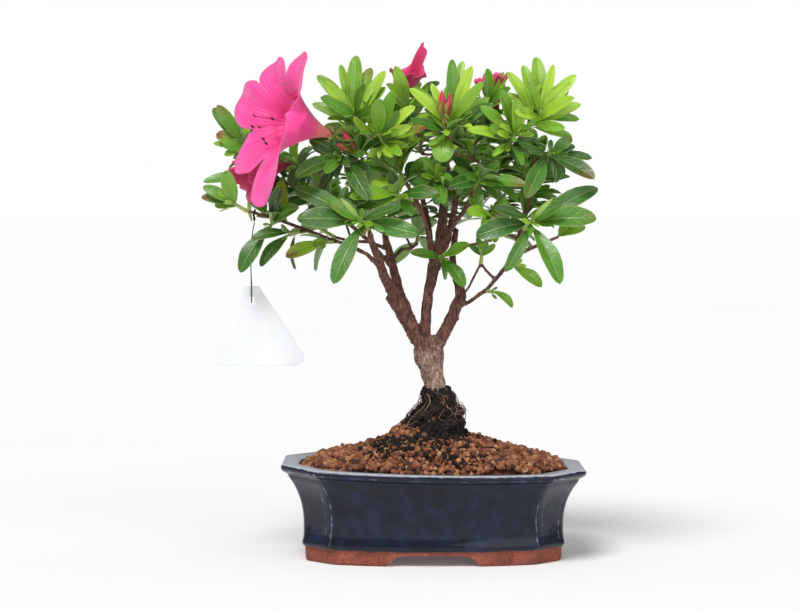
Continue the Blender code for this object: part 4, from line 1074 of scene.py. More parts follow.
def soil_height(x: float, y: float) -> float:
    """The dome of the growing medium, higher against the root ball.

    Args:
        x: place to the right.
        y: place to the back.

    Returns:
        The height.
    """
    corner = (0.805 * abs(x) + 0.593 * abs(y)) / 69.5
    reach = max(abs(x) / 75, abs(y) / 49, corner)
    near = max(0.0, 1 - hypot(x - BALL_CENTRE[0], y - BALL_CENTRE[1]) / 46)
    return SOIL_EDGE + SOIL_DOME * (1 - min(reach, 1) ** 3) + 6.0 * near**1.5


def heaped(x: float, y: float) -> float:
    """The bed's visible top, with grains pushed up against the root ball.

    Args:
        x: place to the right.
        y: place to the back.

    Returns:
        The height.
    """
    near = max(0.0, 1 - hypot(x - BALL_CENTRE[0] - 4, y - BALL_CENTRE[1]) / 40)
    dune = 1.3 * noise.noise(Vector((x * 0.06, y * 0.06, 3.0)))
    return soil_height(x, y) + (5.5 + 1.5 * fade(x, 0, 20)) * near**1.6 + dune


def inside(outline: list, x: float, y: float) -> bool:
    """True where a point lies inside a closed outline.

    Args:
        outline: its points, in order.
        x: place to the right.
        y: place to the back.

    Returns:
        Whether it does.
    """
    crossings = 0
    for a, b in zip(outline, outline[1:] + outline[:1]):
        if (a.y > y) != (b.y > y) and x < a.x + (b.x - a.x) * (y - a.y) / (b.y - a.y):
            crossings += 1
    return crossings % 2 == 1


def ico(level: int) -> tuple:
    """Points and faces of a ball of radius 1, as arrays.

    Args:
        level: how often it is divided.

    Returns:
        Points and faces.
    """
    work = bmesh.new()
    bmesh.ops.create_icosphere(work, subdivisions=level, radius=1)
    points = np.array([tuple(v.co) for v in work.verts])
    faces = [tuple(v.index for v in f.verts) for f in work.faces]
    work.free()
    return points, faces


@dataclass
class GrainMaker:
    """Makes irregular grains from one shared ball."""

    level: int
    seed: int

    def __post_init__(self) -> None:
        """Makes the ball and the seeded draws."""
        self.ball, self.faces = ico(self.level)
        self.draw = np.random.default_rng(self.seed)

    def grain(self, centre: Vector, radius: float, rough: float = 0.16) -> list:
        """The points of one grain: a ball squeezed, chipped by flat cuts and turned.

        Args:
            centre: its middle.
            radius: its radius.
            rough: how uneven it is.

        Returns:
            The points.
        """
        draw = self.draw
        points = self.ball * (1 + draw.normal(0, rough * 0.45, (len(self.ball), 1)))
        for _ in range(6):
            way = draw.normal(size=3)
            way /= np.linalg.norm(way)
            reach = draw.uniform(0.6, 0.92)
            over = np.clip(points @ way - reach, 0, None)
            points = points - over[:, None] * way * 0.92
        points = points * draw.uniform(0.78, 1.2, 3) * radius
        turn = Matrix.Rotation(draw.uniform(0, 6.28), 3, Vector(draw.normal(size=3)).normalized())
        return list(points @ np.array(turn).T + np.array(centre))

    def sized(self, draw: Random, small: float, large: float) -> float:
        """A radius between two sizes, more often a small one."""
        return small + (large - small) * draw.random() ** 1.7


@dataclass
class AkadamaBed:
    """The bed of baked-clay grains, with loose grains in layers over a rough core.

    Each coat has a name, the height of its grains over the bed's top and their spacing. A wall row
    has its distance from the wall and its height over the bed. A bank has its first and last turn,
    its top and the number of its grains.
    """

    shop: Workshop
    coats: tuple = (("akadama_grains_low", -1.7, 3.4), ("akadama_grains_top", -0.1, 3.15))
    stray: float = 0.9
    row_share: float = 0.88
    wall_rows: tuple = ((1.8, -1.0), (4.4, -0.3))
    banks: tuple = ((172, 246, 72, 95), (285, 395, 66, 60))

    def __post_init__(self) -> None:
        """Makes the seeded draws and the maker of grains."""
        self.draw = Random(21)
        self.maker = GrainMaker(2, 4)

    def build(self) -> None:
        """Builds the core and its two coats of grains."""
        self.core()
        self.grains()

    def core(self) -> None:
        """The bulk of the bed, a little under the grains."""
        rings = [inner_outline(z, 0.5).ring(z) for z in (FLOOR_TOP + 2.2, 25, 38, 46)]
        middle = Vector((*BALL_CENTRE, 0))
        for step in range(1, 13):
            ring = []
            for p in rings[3]:
                way = Vector((p.x, p.y, 0)) - middle
                flat = middle + way.lerp(way.normalized() * (BALL_RADIUS - 3), step / 12)
                drop = 2.4 + 1.4 * (1 - step / 12) ** 3
                ring.append(Vector((flat.x, flat.y, soil_height(flat.x, flat.y) - drop)))
            rings.append(ring)
        foot = [middle + (p - middle).to_2d().to_3d().normalized() * 19.7 + UP * 23 for p in rings[3]]
        solid = Solid()
        solid.add(*loft([*rings, foot]), shade=0.18)
        self.shop.add("akadama_core", solid, AKADAMA, Slot.AKADAMA, ("akadama",))

    def grains(self) -> None:
        """Grains over the whole top, closer and finer round the root ball."""
        maker, draw = self.maker, self.draw
        outline = inner_outline(47, 1.4).ring(0)
        for name, drop, spacing in self.coats:
            solid = Solid()
            for row in range(-20, 21):
                for column in range(-28, 29):
                    x = (column + 0.5 * (row % 2)) * spacing + draw.uniform(-self.stray, self.stray)
                    y = row * spacing * self.row_share + draw.uniform(-self.stray, self.stray)
                    near = hypot(x - BALL_CENTRE[0], y - BALL_CENTRE[1])
                    edge = BALL_RADIUS - (7 if x < -8 else 4)
                    if near < edge or not inside(outline, x, y):
                        continue
                    coarse = 0.5 * fade(-x, -10, 50) + 0.25 * fade(x, 35, 65)
                    radius = maker.sized(draw, 1.15 + 0.2 * coarse, 2.0 + 1.3 * coarse)
                    lift = drop + draw.uniform(-0.6, 0.6)
                    centre = Vector((x, y, heaped(x, y) + lift))
                    shade = clipped(draw.gauss(0.5, 0.25), 0, 1)
                    solid.add(maker.grain(centre, radius), maker.faces, shade=shade)
            if drop > -1:
                self.banked(solid)
                self.edge_row(solid)
            self.shop.add(name, solid, AKADAMA, Slot.AKADAMA, (), 35)

    def edge_row(self, solid: Solid) -> None:
        """Grains that lie along the pot's inner wall.

        Args:
            solid: what they are added to.
        """
        maker, draw = self.maker, self.draw
        for inset, drop in self.wall_rows:
            ring = inner_outline(49, inset).ring(0)
            for p, q in zip(ring, ring[1:] + ring[:1]):
                for _ in range(max(1, round((q - p).length / 2.4))):
                    if (q - p).length < 1.2 and draw.random() < 0.5:
                        continue
                    at = p.lerp(q, draw.random())
                    centre = Vector((at.x, at.y, heaped(at.x, at.y) + drop + draw.uniform(-0.3, 0.6)))
                    shade = clipped(draw.gauss(0.5, 0.25), 0, 1)
                    solid.add(maker.grain(centre, draw.uniform(1.2, 1.9)), maker.faces, shade=shade)

    def banked(self, solid: Solid) -> None:
        """Larger grains banked up on the left and right foot of the root mound.

        Args:
            solid: what they are added to.
        """
        maker, draw = self.maker, self.draw
        ball = RootBall(self.shop)
        for first, last, top, count in self.banks:
            for _ in range(count):
                z = draw.uniform(60, top)
                p = ball.surface(radians(draw.uniform(first, last)), z)
                out = (p - Vector((*BALL_CENTRE, z))).normalized()
                shade = clipped(draw.gauss(0.55, 0.25), 0, 1)
                solid.add(maker.grain(p + out * 0.9, draw.uniform(1.1, 2.2)), maker.faces, shade=shade)


@dataclass
class RootBall:
    """The black peat mound with its crumbs and the fine roots that loop out of it."""

    shop: Workshop
    sides: int = 96
    socket_bottom: float = 69.8
    crumb_count: int = 1100
    spilled_count: int = 620
    root_count: int = 80
    # Height, radius and how far to the right the mound's middle lies there
    profile: tuple = (
        (24.0, 19.0, -2.0), (40.0, 22.5, -2.0), (60.0, 24.0, -2.0), (67.0, 19.2, -2.6), (74.0, 15.0, 1.0),
        (80.0, 12.0, 2.9), (84.0, 9.2, 3.2), (88.0, 7.3, 2.4), (91.0, 6.4, 1.7), (93.0, 5.9, 1.2),
    )

    def surface(self, turn: float, z: float) -> Vector:
        """A point of the rough mound.

        Args:
            turn: the way from the middle, in radians.
            z: height in millimetres.

        Returns:
            The point.
        """
        heights, radii, middles = zip(*self.profile)
        radius, middle_x = np.interp(z, heights, radii), np.interp(z, heights, middles)
        way = Vector((cos(turn), sin(turn), 0))
        lump = noise.fractal(way * 2.6 + UP * z * 0.2, 0.8, 2.0, 5) * 2.6
        crag = noise.noise(way * 7 + UP * z * 0.6) * 1.9
        rough = (lump + crag) * fade(z, 58, 66) * (1 - 0.5 * fade(z, 86, 93))
        return Vector((middle_x, 0, z)) + way * max(radius + rough, 5.6)

    def build(self) -> None:
        """Builds mound, crumbs and roots."""
        solid = Solid()
        turns = [2 * pi * i / self.sides for i in range(self.sides)]
        heights = [24, 34, 44, 54] + [58 + 34.8 * i / 52 for i in range(53)]
        rings = [[self.surface(turn, z) for turn in turns] for z in heights]
        top = Vector((TRUNK_X, 0, 91.4))
        bottom = Vector((TRUNK_X, 0, self.socket_bottom))
        rim = rings[-1]
        rings.append([top + (p - top) * 0.72 for p in rim])
        rings.append([bottom + ((p - top) * 0.6601).to_2d().to_3d() for p in rim])
        points, faces = loft(rings)
        solid.add(points, faces, shade=[0.3 + 0.4 * noise.noise(Vector(p) * 0.6) for p in points])
        self.crumbs(solid)
        self.shop.add("root_mound", solid, PEAT, Slot.PEAT, ("root_ball",), 60)
        self.roots()

    def crumbs(self, solid: Solid) -> None:
        """Peat crumbs on the mound, and those that have rolled down the front of the bed.

        Args:
            solid: what they are added to.
        """
        draw = Random(8)
        maker = GrainMaker(1, 9)
        for _ in range(self.crumb_count):
            z = draw.uniform(61, 92.0)
            p = self.surface(draw.uniform(0, 2 * pi), z)
            tone = draw.uniform(0.6, 1.0) if draw.random() < 0.12 else draw.uniform(0.0, 0.5)
            solid.add(maker.grain(p, maker.sized(draw, 0.4, 2.3), 0.3), maker.faces, shade=tone)
        outline = inner_outline(47, 1.5).ring(0)
        for _ in range(self.spilled_count):
            if draw.random() < 0.1:
                x, y = draw.gauss(14, 6), draw.gauss(-39, 3)
            elif draw.random() < 0.55:
                x, y = draw.gauss(-21, 6.5), draw.gauss(-23, 6)
            else:
                turn, reach = radians(draw.gauss(-95, 45)), abs(draw.gauss(0, 8)) + BALL_RADIUS - 3
                x, y = BALL_CENTRE[0] + reach * cos(turn), BALL_CENTRE[1] + reach * sin(turn)
            if not inside(outline, x, y) or hypot(x, y) < 18:
                continue
            centre = Vector((x, y, heaped(x, y) + draw.uniform(0.3, 1.7)))
            crumb = maker.grain(centre, maker.sized(draw, 0.4, 1.7), 0.3)
            solid.add(crumb, maker.faces, shade=draw.uniform(0, 0.5))

    def roots(self) -> None:
        """Fine roots from under the trunk, down over the mound."""
        draw = Random(15)
        solid = Solid()
        for i in range(self.root_count):
            turn = 2 * pi * i / self.root_count + draw.uniform(-0.1, 0.1)
            stray = 1.0 if cos(turn) < 0.2 else 1.7
            z = draw.uniform(80, 92)
            knots = []
            out = draw.uniform(0.6, 2.2)
            for step in range(6):
                p = self.surface(turn, max(z, 61))
                way = Vector((cos(turn), sin(turn), 0))
                bulge = sin(pi * min(step / 4, 1)) * draw.uniform(0.2, 2.0) * stray
                thick = draw.uniform(0.12, 0.3) * (1 - 0.1 * step)
                knots.append((*(p + way * (out + bulge)), thick))
                z -= draw.uniform(-0.5, 6)
                turn += draw.uniform(-0.45, 0.45)
            path, radii = smooth_path(knots, 5)
            solid.add(*tube(path, radii, 5), shade=draw.random() ** 2.2)
        self.shop.add("surface_roots", solid, ROOT, Slot.PEAT, ())


# Wood


@dataclass
class Wood:
    """Trunk, limbs and twigs: the CAD solid rounded, with furrows where it is thick."""

    shop: Workshop
    voxel: float = 0.6
    rounding: int = 7
    thickest: float = 16
    furrow: float = 0.085
    lump: float = 0.05
    # The trunk is fuller under its fork: by how much, between which heights and how far out
    fork_swell: float = 1.5
    fork_rise: tuple = (96, 112)
    fork_fall: tuple = (112.5, 120)
    fork_reach: tuple = (13, 20)

    def build(self) -> Object:
        """Rounds the CAD wood, furrows it and dresses it.

        Returns:
            The bark, which the twig leaves grow from.
        """
        points, faces = self.shop.cad_mesh("wood")
        mesh = bpy.data.meshes.new("wood_draft")
        mesh.from_pydata([p * MM for p in points], [], faces)
        draft = linked("wood_draft", mesh)
        remesh = draft.modifiers.new("voxels", "REMESH")
        remesh.mode = "VOXEL"
        remesh.voxel_size = self.voxel * MM
        rounder = draft.modifiers.new("rounder", "SMOOTH")
        rounder.iterations = self.rounding
        rounder.factor = 0.5
        graph = bpy.context.evaluated_depsgraph_get()
        fine = bpy.data.meshes.new_from_object(draft.evaluated_get(graph))
        bpy.data.objects.remove(draft)
        solid = self.furrowed(fine)
        return self.shop.add("wood_bark", solid, BARK, Slot.BARK, ("wood",), 180)

    def furrowed(self, mesh: Mesh) -> Solid:
        """Moves each point by furrows as deep as the wood there is thick.

        Args:
            mesh: the rounded wood.

        Returns:
            The bark's solid, marked with its thickness.
        """
        tree = BVHTree.FromPolygons([v.co for v in mesh.vertices], [tuple(p.vertices) for p in mesh.polygons])
        solid = Solid()
        moved, thick = [], []
        for vertex in mesh.vertices:
            normal = vertex.normal
            hit, _, _, reach = tree.ray_cast(vertex.co - normal * 0.05 * MM, -normal)
            width = 1.5 if hit is None else min(reach / MM, self.thickest)
            p = vertex.co / MM
            grain = noise.fractal(Vector((p.x * 0.55, p.y * 0.55, p.z * 0.09)), 0.8, 2.1, 5)
            lump = noise.noise(p * 0.16)
            swell = 0.12 if width < 3.2 else 0.0
            fork = fade(p.z, *self.fork_rise) * (1 - fade(p.z, *self.fork_fall))
            fork *= 1 - fade(abs(p.x - TRUNK_X), *self.fork_reach)
            swell += self.fork_swell * fork * abs(normal.x)
            move = grain * self.furrow * width + lump * self.lump * width + swell
            moved.append(p + normal * move)
            thick.append(min(width / 12, 1.0) * fade(width, 1.6, 6) + 0.02 * width)
        solid.add(moved, [tuple(p.vertices) for p in mesh.polygons], thick=thick)
        return solid


# Leaves

# The CAD blade: its thickness, where its two rings stand, and their width as a share of the leaf's
BLADE_THICK = 0.8
STATIONS = (0.42, 0.80)
STATION_WIDTH = 0.86
USUAL_BEND = 0.55
# Half width of a blade along it, as (share of the way, share of the half width)
OUTLINE = (
    (0.0, 0.085), (0.09, 0.10), (0.2, 0.42), (0.34, 0.76), (0.5, 0.97),
    (0.62, 1.02), (0.76, 0.93), (0.88, 0.68), (0.95, 0.42), (1.0, 0.0),
)
# The built blade: its thickness, and its rows along and across
BLADE_BODY = 0.32
ALONG = (0.0, 0.05, 0.1, 0.17, 0.26, 0.37, 0.49, 0.61, 0.72, 0.82, 0.9, 0.955, 0.99, 1.0)
ACROSS = (-1.0, -0.72, -0.4, -0.1, 0.0, 0.1, 0.4, 0.72, 1.0)


def arched(bend: float, s: float) -> tuple:
    """How far an arched blade has turned at s, and its place there along the chord and over it.

    Args:
        bend: how far the blade turns from end to end.
        s: share of the way to the tip.

    Returns:
        The turn, the run and the rise.
    """
    turn, half = bend * (s - 0.5), bend / 2
    run = (sin(turn) + sin(half)) / (2 * sin(half))
    rise = (cos(turn) - cos(half)) / (2 * sin(half))
    return turn, run, rise


@dataclass(frozen=True)
class Leaf:
    """One blade, from the stem's axis to its tip, arched with its upper side along face."""

    root: Vector
    tip: Vector
    face: Vector
    width: float
    bend: float

    def at(self, s: float, v: float, lift: float) -> Vector:
        """The point s of the way to the tip, v of the half width to the side and lift over the middle.

        Args:
            s: share of the way.
            v: share of the half width.
            lift: height over the middle.

        Returns:
            The point.
        """
        chord = self.tip - self.root
        along, size = chord.normalized(), chord.length
        turn, run, rise = arched(self.bend, s)
        middle = self.root + chord * run + self.face * size * rise
        normal = self.face * cos(turn) + along * sin(turn)
        side = along.cross(self.face)
        return middle + side * v * self.width / 2 + normal * lift

    def turned(self, angle: float, tilt: float, share: float) -> "Leaf":
        """A leaf from the same root, turned about the face, tipped and resized.

        Args:
            angle: turn about the face.
            tilt: turn about the side.
            share: its size beside this one's.

        Returns:
            The leaf.
        """
        spin = Matrix.Rotation(angle, 3, self.face)
        side = (self.tip - self.root).normalized().cross(self.face)
        lean = Matrix.Rotation(tilt, 3, side)
        chord = lean @ (spin @ (self.tip - self.root)) * share
        face = square_to((lean @ self.face).normalized(), chord)
        return Leaf(self.root, self.root + chord, face, self.width * share, self.bend)

    def slimmer(self, share: float) -> "Leaf":
        """The same leaf with a share of its width."""
        return Leaf(self.root, self.tip, self.face, self.width * share, self.bend)

    def blade(self, solid: Solid, draw: Random, shade: float, age: float, fine: bool = True) -> None:
        """Adds the leaf's thin, folded and gently waved body to a solid.

        Args:
            solid: what it is added to.
            draw: the seeded draws.
            shade: tone, from 0 dark to 1 light.
            age: how worn it is.
            fine: whether it gets all rows.
        """
        stations = ALONG if fine else ALONG[::2] + (1.0,)
        columns = ACROSS if fine else ACROSS[::2]
        fold, cup = draw.uniform(0.05, 0.17), draw.uniform(-0.5, 1.0)
        ripple, phase = draw.uniform(0.0, 0.05), draw.uniform(0, 6)
        curl = draw.uniform(-0.02, 0.07)
        rings = []
        for s in stations[:-1]:
            half = table_value(OUTLINE, s)
            above, below = [], []
            for v in columns:
                lift = fold * self.width * abs(v) ** 1.2 * half
                lift += ripple * self.width * sin(s * 9 + phase + 1.5 * v) * abs(v)
                lift -= curl * (self.tip - self.root).length * fade(s, 0.6, 1.0) + cup * 0.02 * self.width * s
                lift -= 0.12 * (1 - min(abs(v) * 9, 1)) * fade(s, 0.05, 0.2)
                above.append(self.at(s, v * half, lift + BLADE_BODY / 2))
                below.append(self.at(s, v * half, lift - BLADE_BODY / 2 * (1 - 0.8 * abs(v))))
            rings.append(above + below[::-1])
        end = self.at(1.0, 0, -curl * (self.tip - self.root).length)
        wide = len(columns)
        points, faces = loft(rings, False)
        faces.append(tuple(reversed(range(2 * wide))))
        last = (len(rings) - 1) * 2 * wide
        points.append(end)
        for i in range(2 * wide):
            faces.append((last + i, last + (i + 1) % (2 * wide), len(points) - 1))
        marks = {
            "along": [s for s in stations[:-1] for _ in range(2 * wide)] + [1.0],
            "across": [*columns, *reversed(columns)] * len(rings) + [0.0],
            "under": ([0.0] * wide + [1.0] * wide) * len(rings) + [0.0],
        }
        solid.add(points, faces, shade=shade, age=age, **marks)


class BladeReader:
    """Finds each blade's frame in a CAD shoot: a tip of three edges over two rings of three points."""

    def __init__(self, points: list, faces: list) -> None:
        """Notes each point's neighbours.

        Args:
            points: the shoot's points.
            faces: its triangles.
        """
        self.points = points
        self.near = {}
        for face in faces:
            for a, b in zip(face, face[1:] + face[:1]):
                self.near.setdefault(a, set()).add(b)
                self.near.setdefault(b, set()).add(a)

    def across(self, ring: set) -> tuple:
        """How a ring lies round its blade.

        Args:
            ring: its two side points and its keel point.

        Returns:
            The way from side to side, the middle of the two sides, and the way there from the keel.
        """
        a, b, c = (self.points[i] for i in ring)
        triples = ((a, b, c), (b, c, a), (a, c, b))
        left, right, keel = max(triples, key=lambda triple: (triple[0] - triple[1]).length)
        middle = (left + right) / 2
        return left - right, middle, middle - keel

    def blade_at(self, tip: int) -> Leaf | None:
        """The leaf whose tip this point is, or None.

        Args:
            tip: number of the point.

        Returns:
            The leaf, or None.
        """
        ring = self.near[tip]
        if len(ring) != 3 or any(len((self.near[p] - {tip}) & ring) != 2 for p in ring):
            return None
        end = self.points[tip]
        wide, middle, normal = self.across(ring)
        if not 0.7 < normal.length < 0.9 or abs(normal.dot(wide)) > 0.2 * wide.length:
            return None
        side = wide.normalized()
        width = wide.length / STATION_WIDTH
        normal.normalize()
        centre = middle - normal * BLADE_THICK * 0.35
        outer = set().union(*(self.near[p] for p in ring)) - ring - {tip}
        bend = self.bend_of(outer, normal)
        turn, run, rise = arched(bend, STATIONS[1])
        if (end - centre).cross(side).dot(normal) < 0:
            side = -side
        best = None
        for sign in (1, -1):
            face = Matrix.Rotation(sign * turn, 3, side) @ normal
            along = face.cross(side).normalized()
            if along.dot(end - centre) < 0:
                along = -along
            offset = along * (1 - run) - face * rise
            size = (end - centre).length / offset.length
            miss = (centre + offset * size - end).length
            if best is None or miss < best[0]:
                best = (miss, Leaf(end - along * size, end, face.normalized(), width, bend))
        return best[1]

    def bend_of(self, outer: set, normal: Vector) -> float:
        """The arch of the blade, from the ring nearer the stem if it is whole.

        Args:
            outer: the points of that ring.
            normal: the way up at the tip's ring.

        Returns:
            The bend, in radians.
        """
        if len(outer) != 3:
            return USUAL_BEND
        other = self.across(outer)[2]
        if not 0.7 < other.length < 0.9:
            return USUAL_BEND
        angle = normal.angle(other.normalized(), 0.0)
        return clipped(angle / (STATIONS[1] - STATIONS[0]), 0.2, 0.9)

    def leaves(self) -> list:
        """Every leaf of the shoot."""
        found = [self.blade_at(tip) for tip in sorted(self.near)]
        return [leaf for leaf in found if leaf]


# Stems, as (foot, growing tip)
STEMS = {
    "shoot_left_whorl": ((-35.5, -36, 180.5), (-39.3, -47, 184.5)),
    "shoot_right_whorl": ((48.3, -36, 180.5), (52.1, -47, 184.5)),
    "shoot_top_left": ((-30.5, -21, 226.5), (-42.5, -31, 241)),
    "shoot_top_right": ((44.1, -21, 226.5), (56.1, -31, 241)),
    "shoot_top_left_inner": ((-24.2, -22, 220.5), (-29.5, -34, 231)),
    "shoot_top_right_inner": ((37.8, -22, 220.5), (43.1, -34, 231)),
    "shoot_left_dark": ((-46.0, -27, 217.5), (-51.5, -33, 219.5)),
    "shoot_right_dark": ((58.0, -26, 218.5), (62.5, -31, 220.5)),
    "shoot_centre": ((8.2, -24, 225.5), (8.6, -31, 238)),
    "shoot_crown_left": ((-10.5, -8, 232), (-14.5, -14, 245)),
    "shoot_crown_right": ((23.5, -8, 232), (27.5, -14, 245)),
    "shoot_outer_left": ((-97, 9, 216.5), (-104, 12, 226)),
    "shoot_left_arching": ((-91.5, 4, 207.5), (-98, 0, 209)),
    "shoot_left_tip": ((-101.5, -9.6, 189.8), (-108.0, -10, 193.5)),
    "shoot_left_hanging": ((-85.5, -15.5, 184.2), (-88.0, -20, 182.5)),
    "shoot_left_hanging_inner": ((-73.5, -17.5, 178.8), (-77.0, -20.5, 178.2)),
    "shoot_red_tipped": ((-55.0, -20, 173.2), (-57.5, -23, 173.0)),
    "shoot_middle_limb": ((4.2, -4.2, 165.0), (4.8, -9, 164.2)),
    "shoot_right_twig_upper": ((41.0, -13.2, 160.0), (43.5, -16, 160.5)),
    "shoot_right_twig_lower": ((29.8, -10.8, 146.2), (31.4, -13.5, 146.0)),
    "shoot_small_rosette": ((25.8, -13.4, 162.0), (26.3, -14.5, 166)),
    "shoot_light_green": ((28.0, -22, 184), (31.5, -30, 188)),
    "shoot_front_low_left": ((-16.5, -22, 196), (-19.5, -31, 199)),
    "shoot_front_low_right": ((22.5, -20, 203), (24.5, -30, 207)),
    "shoot_front_centre": ((2.0, -14, 203), (1.0, -26, 208)),
}
# Buds among the leaves, as (shoot, tip)
LEAF_BUDS = (
    ("shoot_left_whorl", (-49.5, -56, 197.0)),
    ("shoot_right_whorl", (62.3, -56, 197.0)),
    ("shoot_left_hanging", (-86.8, -22, 199.5)),
)
# Shoots of the sides and back, as (turn from +X to the back, height angle, share of the crown)
FILL = (
    (35, 6, 0.8), (68, 10, 0.82), (104, 8, 0.8), (138, 8, 0.82), (166, 22, 0.84), (12, 24, 0.84),
    (50, 40, 0.84), (88, 42, 0.84), (126, 42, 0.84), (84, 72, 0.84), (86, -22, 0.72), (150, -16, 0.74),
    (24, -18, 0.74),
)
CROWN_CENTRE = Vector((-12, 4, 196))
CROWN_RADII = Vector((86, 76, 74))
# How bright a shoot's leaves are, where they aren't the usual 0.5: lighter on the young shoots, darker on the
# shoots in shade, which is painted shade
TONE_AND_SHADE = {
    "shoot_top_left": 0.66, "shoot_top_right": 0.66, "shoot_centre": 0.6, "shoot_crown_left": 0.62,
    "shoot_crown_right": 0.62, "shoot_left_arching": 0.7, "shoot_left_tip": 0.68, "shoot_light_green": 0.72,
    "shoot_small_rosette": 0.6, "shoot_top_left_inner": 0.62, "shoot_top_right_inner": 0.62,
    "shoot_left_hanging": 0.36, "shoot_left_hanging_inner": 0.36, "shoot_left_dark": 0.2,
    "shoot_right_dark": 0.2, "shoot_left_whorl": 0.42, "shoot_right_whorl": 0.42,
}
# Shoots with slimmer leaves have one of these words in their name
SLIM = ("top", "centre", "crown", "inner")
# Leaves that the shoots carry besides, as (shoot, root, tip, width, bend)
LONE_LEAVES = (
    ("shoot_right_twig_lower", (31.4, -13.4, 146.6), (43.8, -14.5, 137.6), 5.4, 1.0),
    ("shoot_centre", (7.0, -27.0, 231.0), (3.5, -36.0, 216.0), 12.0, 0.5),
    ("shoot_right_twig_upper", (67.2, -15.0, 175.8), (82.5, -17.0, 181.5), 9.0, 0.5),
    ("shoot_right_twig_upper", (67.4, -15.0, 176.0), (76.0, -19.0, 187.5), 6.5, 0.5),
)


@dataclass
class Shoot:
    """One shoot from its foot to its growing tip: stem, leaves, young tip leaves and leaf buds."""

    name: str
    foot: Vector
    top: Vector
    solid: Solid = field(default_factory=Solid)

    def __post_init__(self) -> None:
        """Sets the seeded draws, the leaves' brightness and the stem's directions."""
        self.draw = Random(self.name)
        self.bright = TONE_AND_SHADE.get(self.name, 0.5)
        self.axis = (self.top - self.foot).normalized()
        self.across = self.axis.orthogonal().normalized()
        self.small = (self.top - self.foot).length < 6

    def grow(self, leaves: list) -> None:
        """Fills the solid.

        Args:
            leaves: the blades of the CAD's shoot.
        """
        self.stem()
        slim = 0.76 if any(word in self.name for word in SLIM) else 0.94
        for leaf in leaves:
            high = fade(leaf.tip.z, 200, 262) * 0.16
            shade = clipped(self.draw.gauss(self.bright - 0.16 + high, 0.2), 0.02, 0.98)
            age = max(0.0, self.draw.gauss(-0.1, 0.5)) if shade < 0.6 else 0.0
            if self.name == "shoot_red_tipped":
                shade, age = 0.72, 1.0
            leaf.slimmer(slim).blade(self.solid, self.draw, shade, age)
            self.companions(leaf, self.bright + high)
        for shoot, root, tip, width, bend in LONE_LEAVES:
            if shoot == self.name:
                root, tip = Vector(root), Vector(tip)
                face = square_to(UP + FRONT * 0.9, tip - root)
                Leaf(root, tip, face, width, bend).blade(self.solid, self.draw, 0.55, 0.0)
        self.stem_leaves()
        self.young_leaves()
        for shoot, tip in LEAF_BUDS:
            if shoot == self.name:
                self.bud(Vector(tip))

    def stem(self) -> None:
        """The green stem, up to its growing tip."""
        path = [self.foot - self.axis * 0.6, self.foot.lerp(self.top, 0.5), self.top]
        path.append(self.top + self.axis * 2.0)
        marks = {"shade": 0.62, "age": 0.3, "along": 0.02, "across": 0.5, "under": 0.2}
        self.solid.add(*tube(path, [1.15, 1.0, 0.85, 0.3], 8), **marks)

    def companions(self, leaf: Leaf, bright: float) -> None:
        """Smaller leaves beside the larger ones of a dense crown.

        Args:
            leaf: the larger leaf.
            bright: how bright the leaves are there.
        """
        draw = self.draw
        chance = 0.95 if leaf.tip.z > 205 else 0.25
        if draw.random() > chance or leaf.width < 5:
            return
        for side in (-1, 1) if leaf.tip.z > 215 else (draw.choice((-1, 1)),):
            angle = side * draw.uniform(0.4, 0.95)
            other = leaf.turned(angle, draw.uniform(-0.5, 0.4), draw.uniform(0.5, 0.82)).slimmer(0.8)
            other.blade(self.solid, draw, clipped(draw.gauss(bright - 0.06, 0.22), 0.03, 0.98), 0.0, False)

    def stem_leaves(self) -> None:
        """Darker leaves lower on a stem of the upper crown: older leaves, with painted shade inside the
        crown.
        """
        if self.top.z < 203 or self.small:
            return
        draw = self.draw
        for i in range(7):
            out = Matrix.Rotation(i * 2.4 + draw.uniform(-0.3, 0.3), 3, self.axis) @ self.across
            tilt = radians(draw.uniform(58, 98))
            length = draw.uniform(10, 16)
            root = self.foot.lerp(self.top, 0.1 + 0.11 * i) + out * 0.5
            chord = spoke(tilt, self.axis, out) * length
            face = square_to(self.axis + UP * 0.4, chord)
            leaf = Leaf(root, root + chord, face, length * draw.uniform(0.3, 0.4), draw.uniform(0.3, 0.9))
            # darker than the shoot: older leaves, and painted shade inside the crown
            shade = clipped(self.bright - draw.uniform(0.05, 0.45), 0.03, 0.9)
            leaf.blade(self.solid, draw, shade, 0.0, False)

    def young_leaves(self) -> None:
        """A rosette of small bright leaves round the growing tip."""
        draw = self.draw
        for i in range(5 if self.small else 7):
            out = Matrix.Rotation(i * 2.4 + draw.uniform(-0.2, 0.2), 3, self.axis) @ self.across
            tilt = radians(22 + 6 * i + draw.uniform(-6, 6))
            length = draw.uniform(4.5, 6.5) + (0 if self.small else 0.8 * i)
            root = self.top + out * 0.35 + self.axis * (0.8 - 0.15 * i)
            chord = spoke(tilt, self.axis, out) * length
            face = square_to(self.axis * 0.8 - out * 0.6 + UP * 0.2, chord)
            leaf = Leaf(root, root + chord, face, length * draw.uniform(0.36, 0.46), -0.5)
            leaf.blade(self.solid, draw, min(self.bright + draw.uniform(0.12, 0.4), 0.98), 0.0, False)

    def bud(self, tip: Vector) -> None:
        """A pointed leaf bud.

        Args:
            tip: its point.
        """
        foot = self.foot.lerp(self.top, 0.8)
        path = [foot + (tip - foot) * t for t in (0, 0.2, 0.4, 0.6, 0.78, 0.9, 1.0)]
        marks = {"shade": 0.8, "age": 0.2, "along": 0.1, "across": 0.5, "under": 0.9}
        self.solid.add(*tube(path, [0.9, 1.5, 2.05, 2.1, 1.5, 0.8, 0.12], 12), **marks)


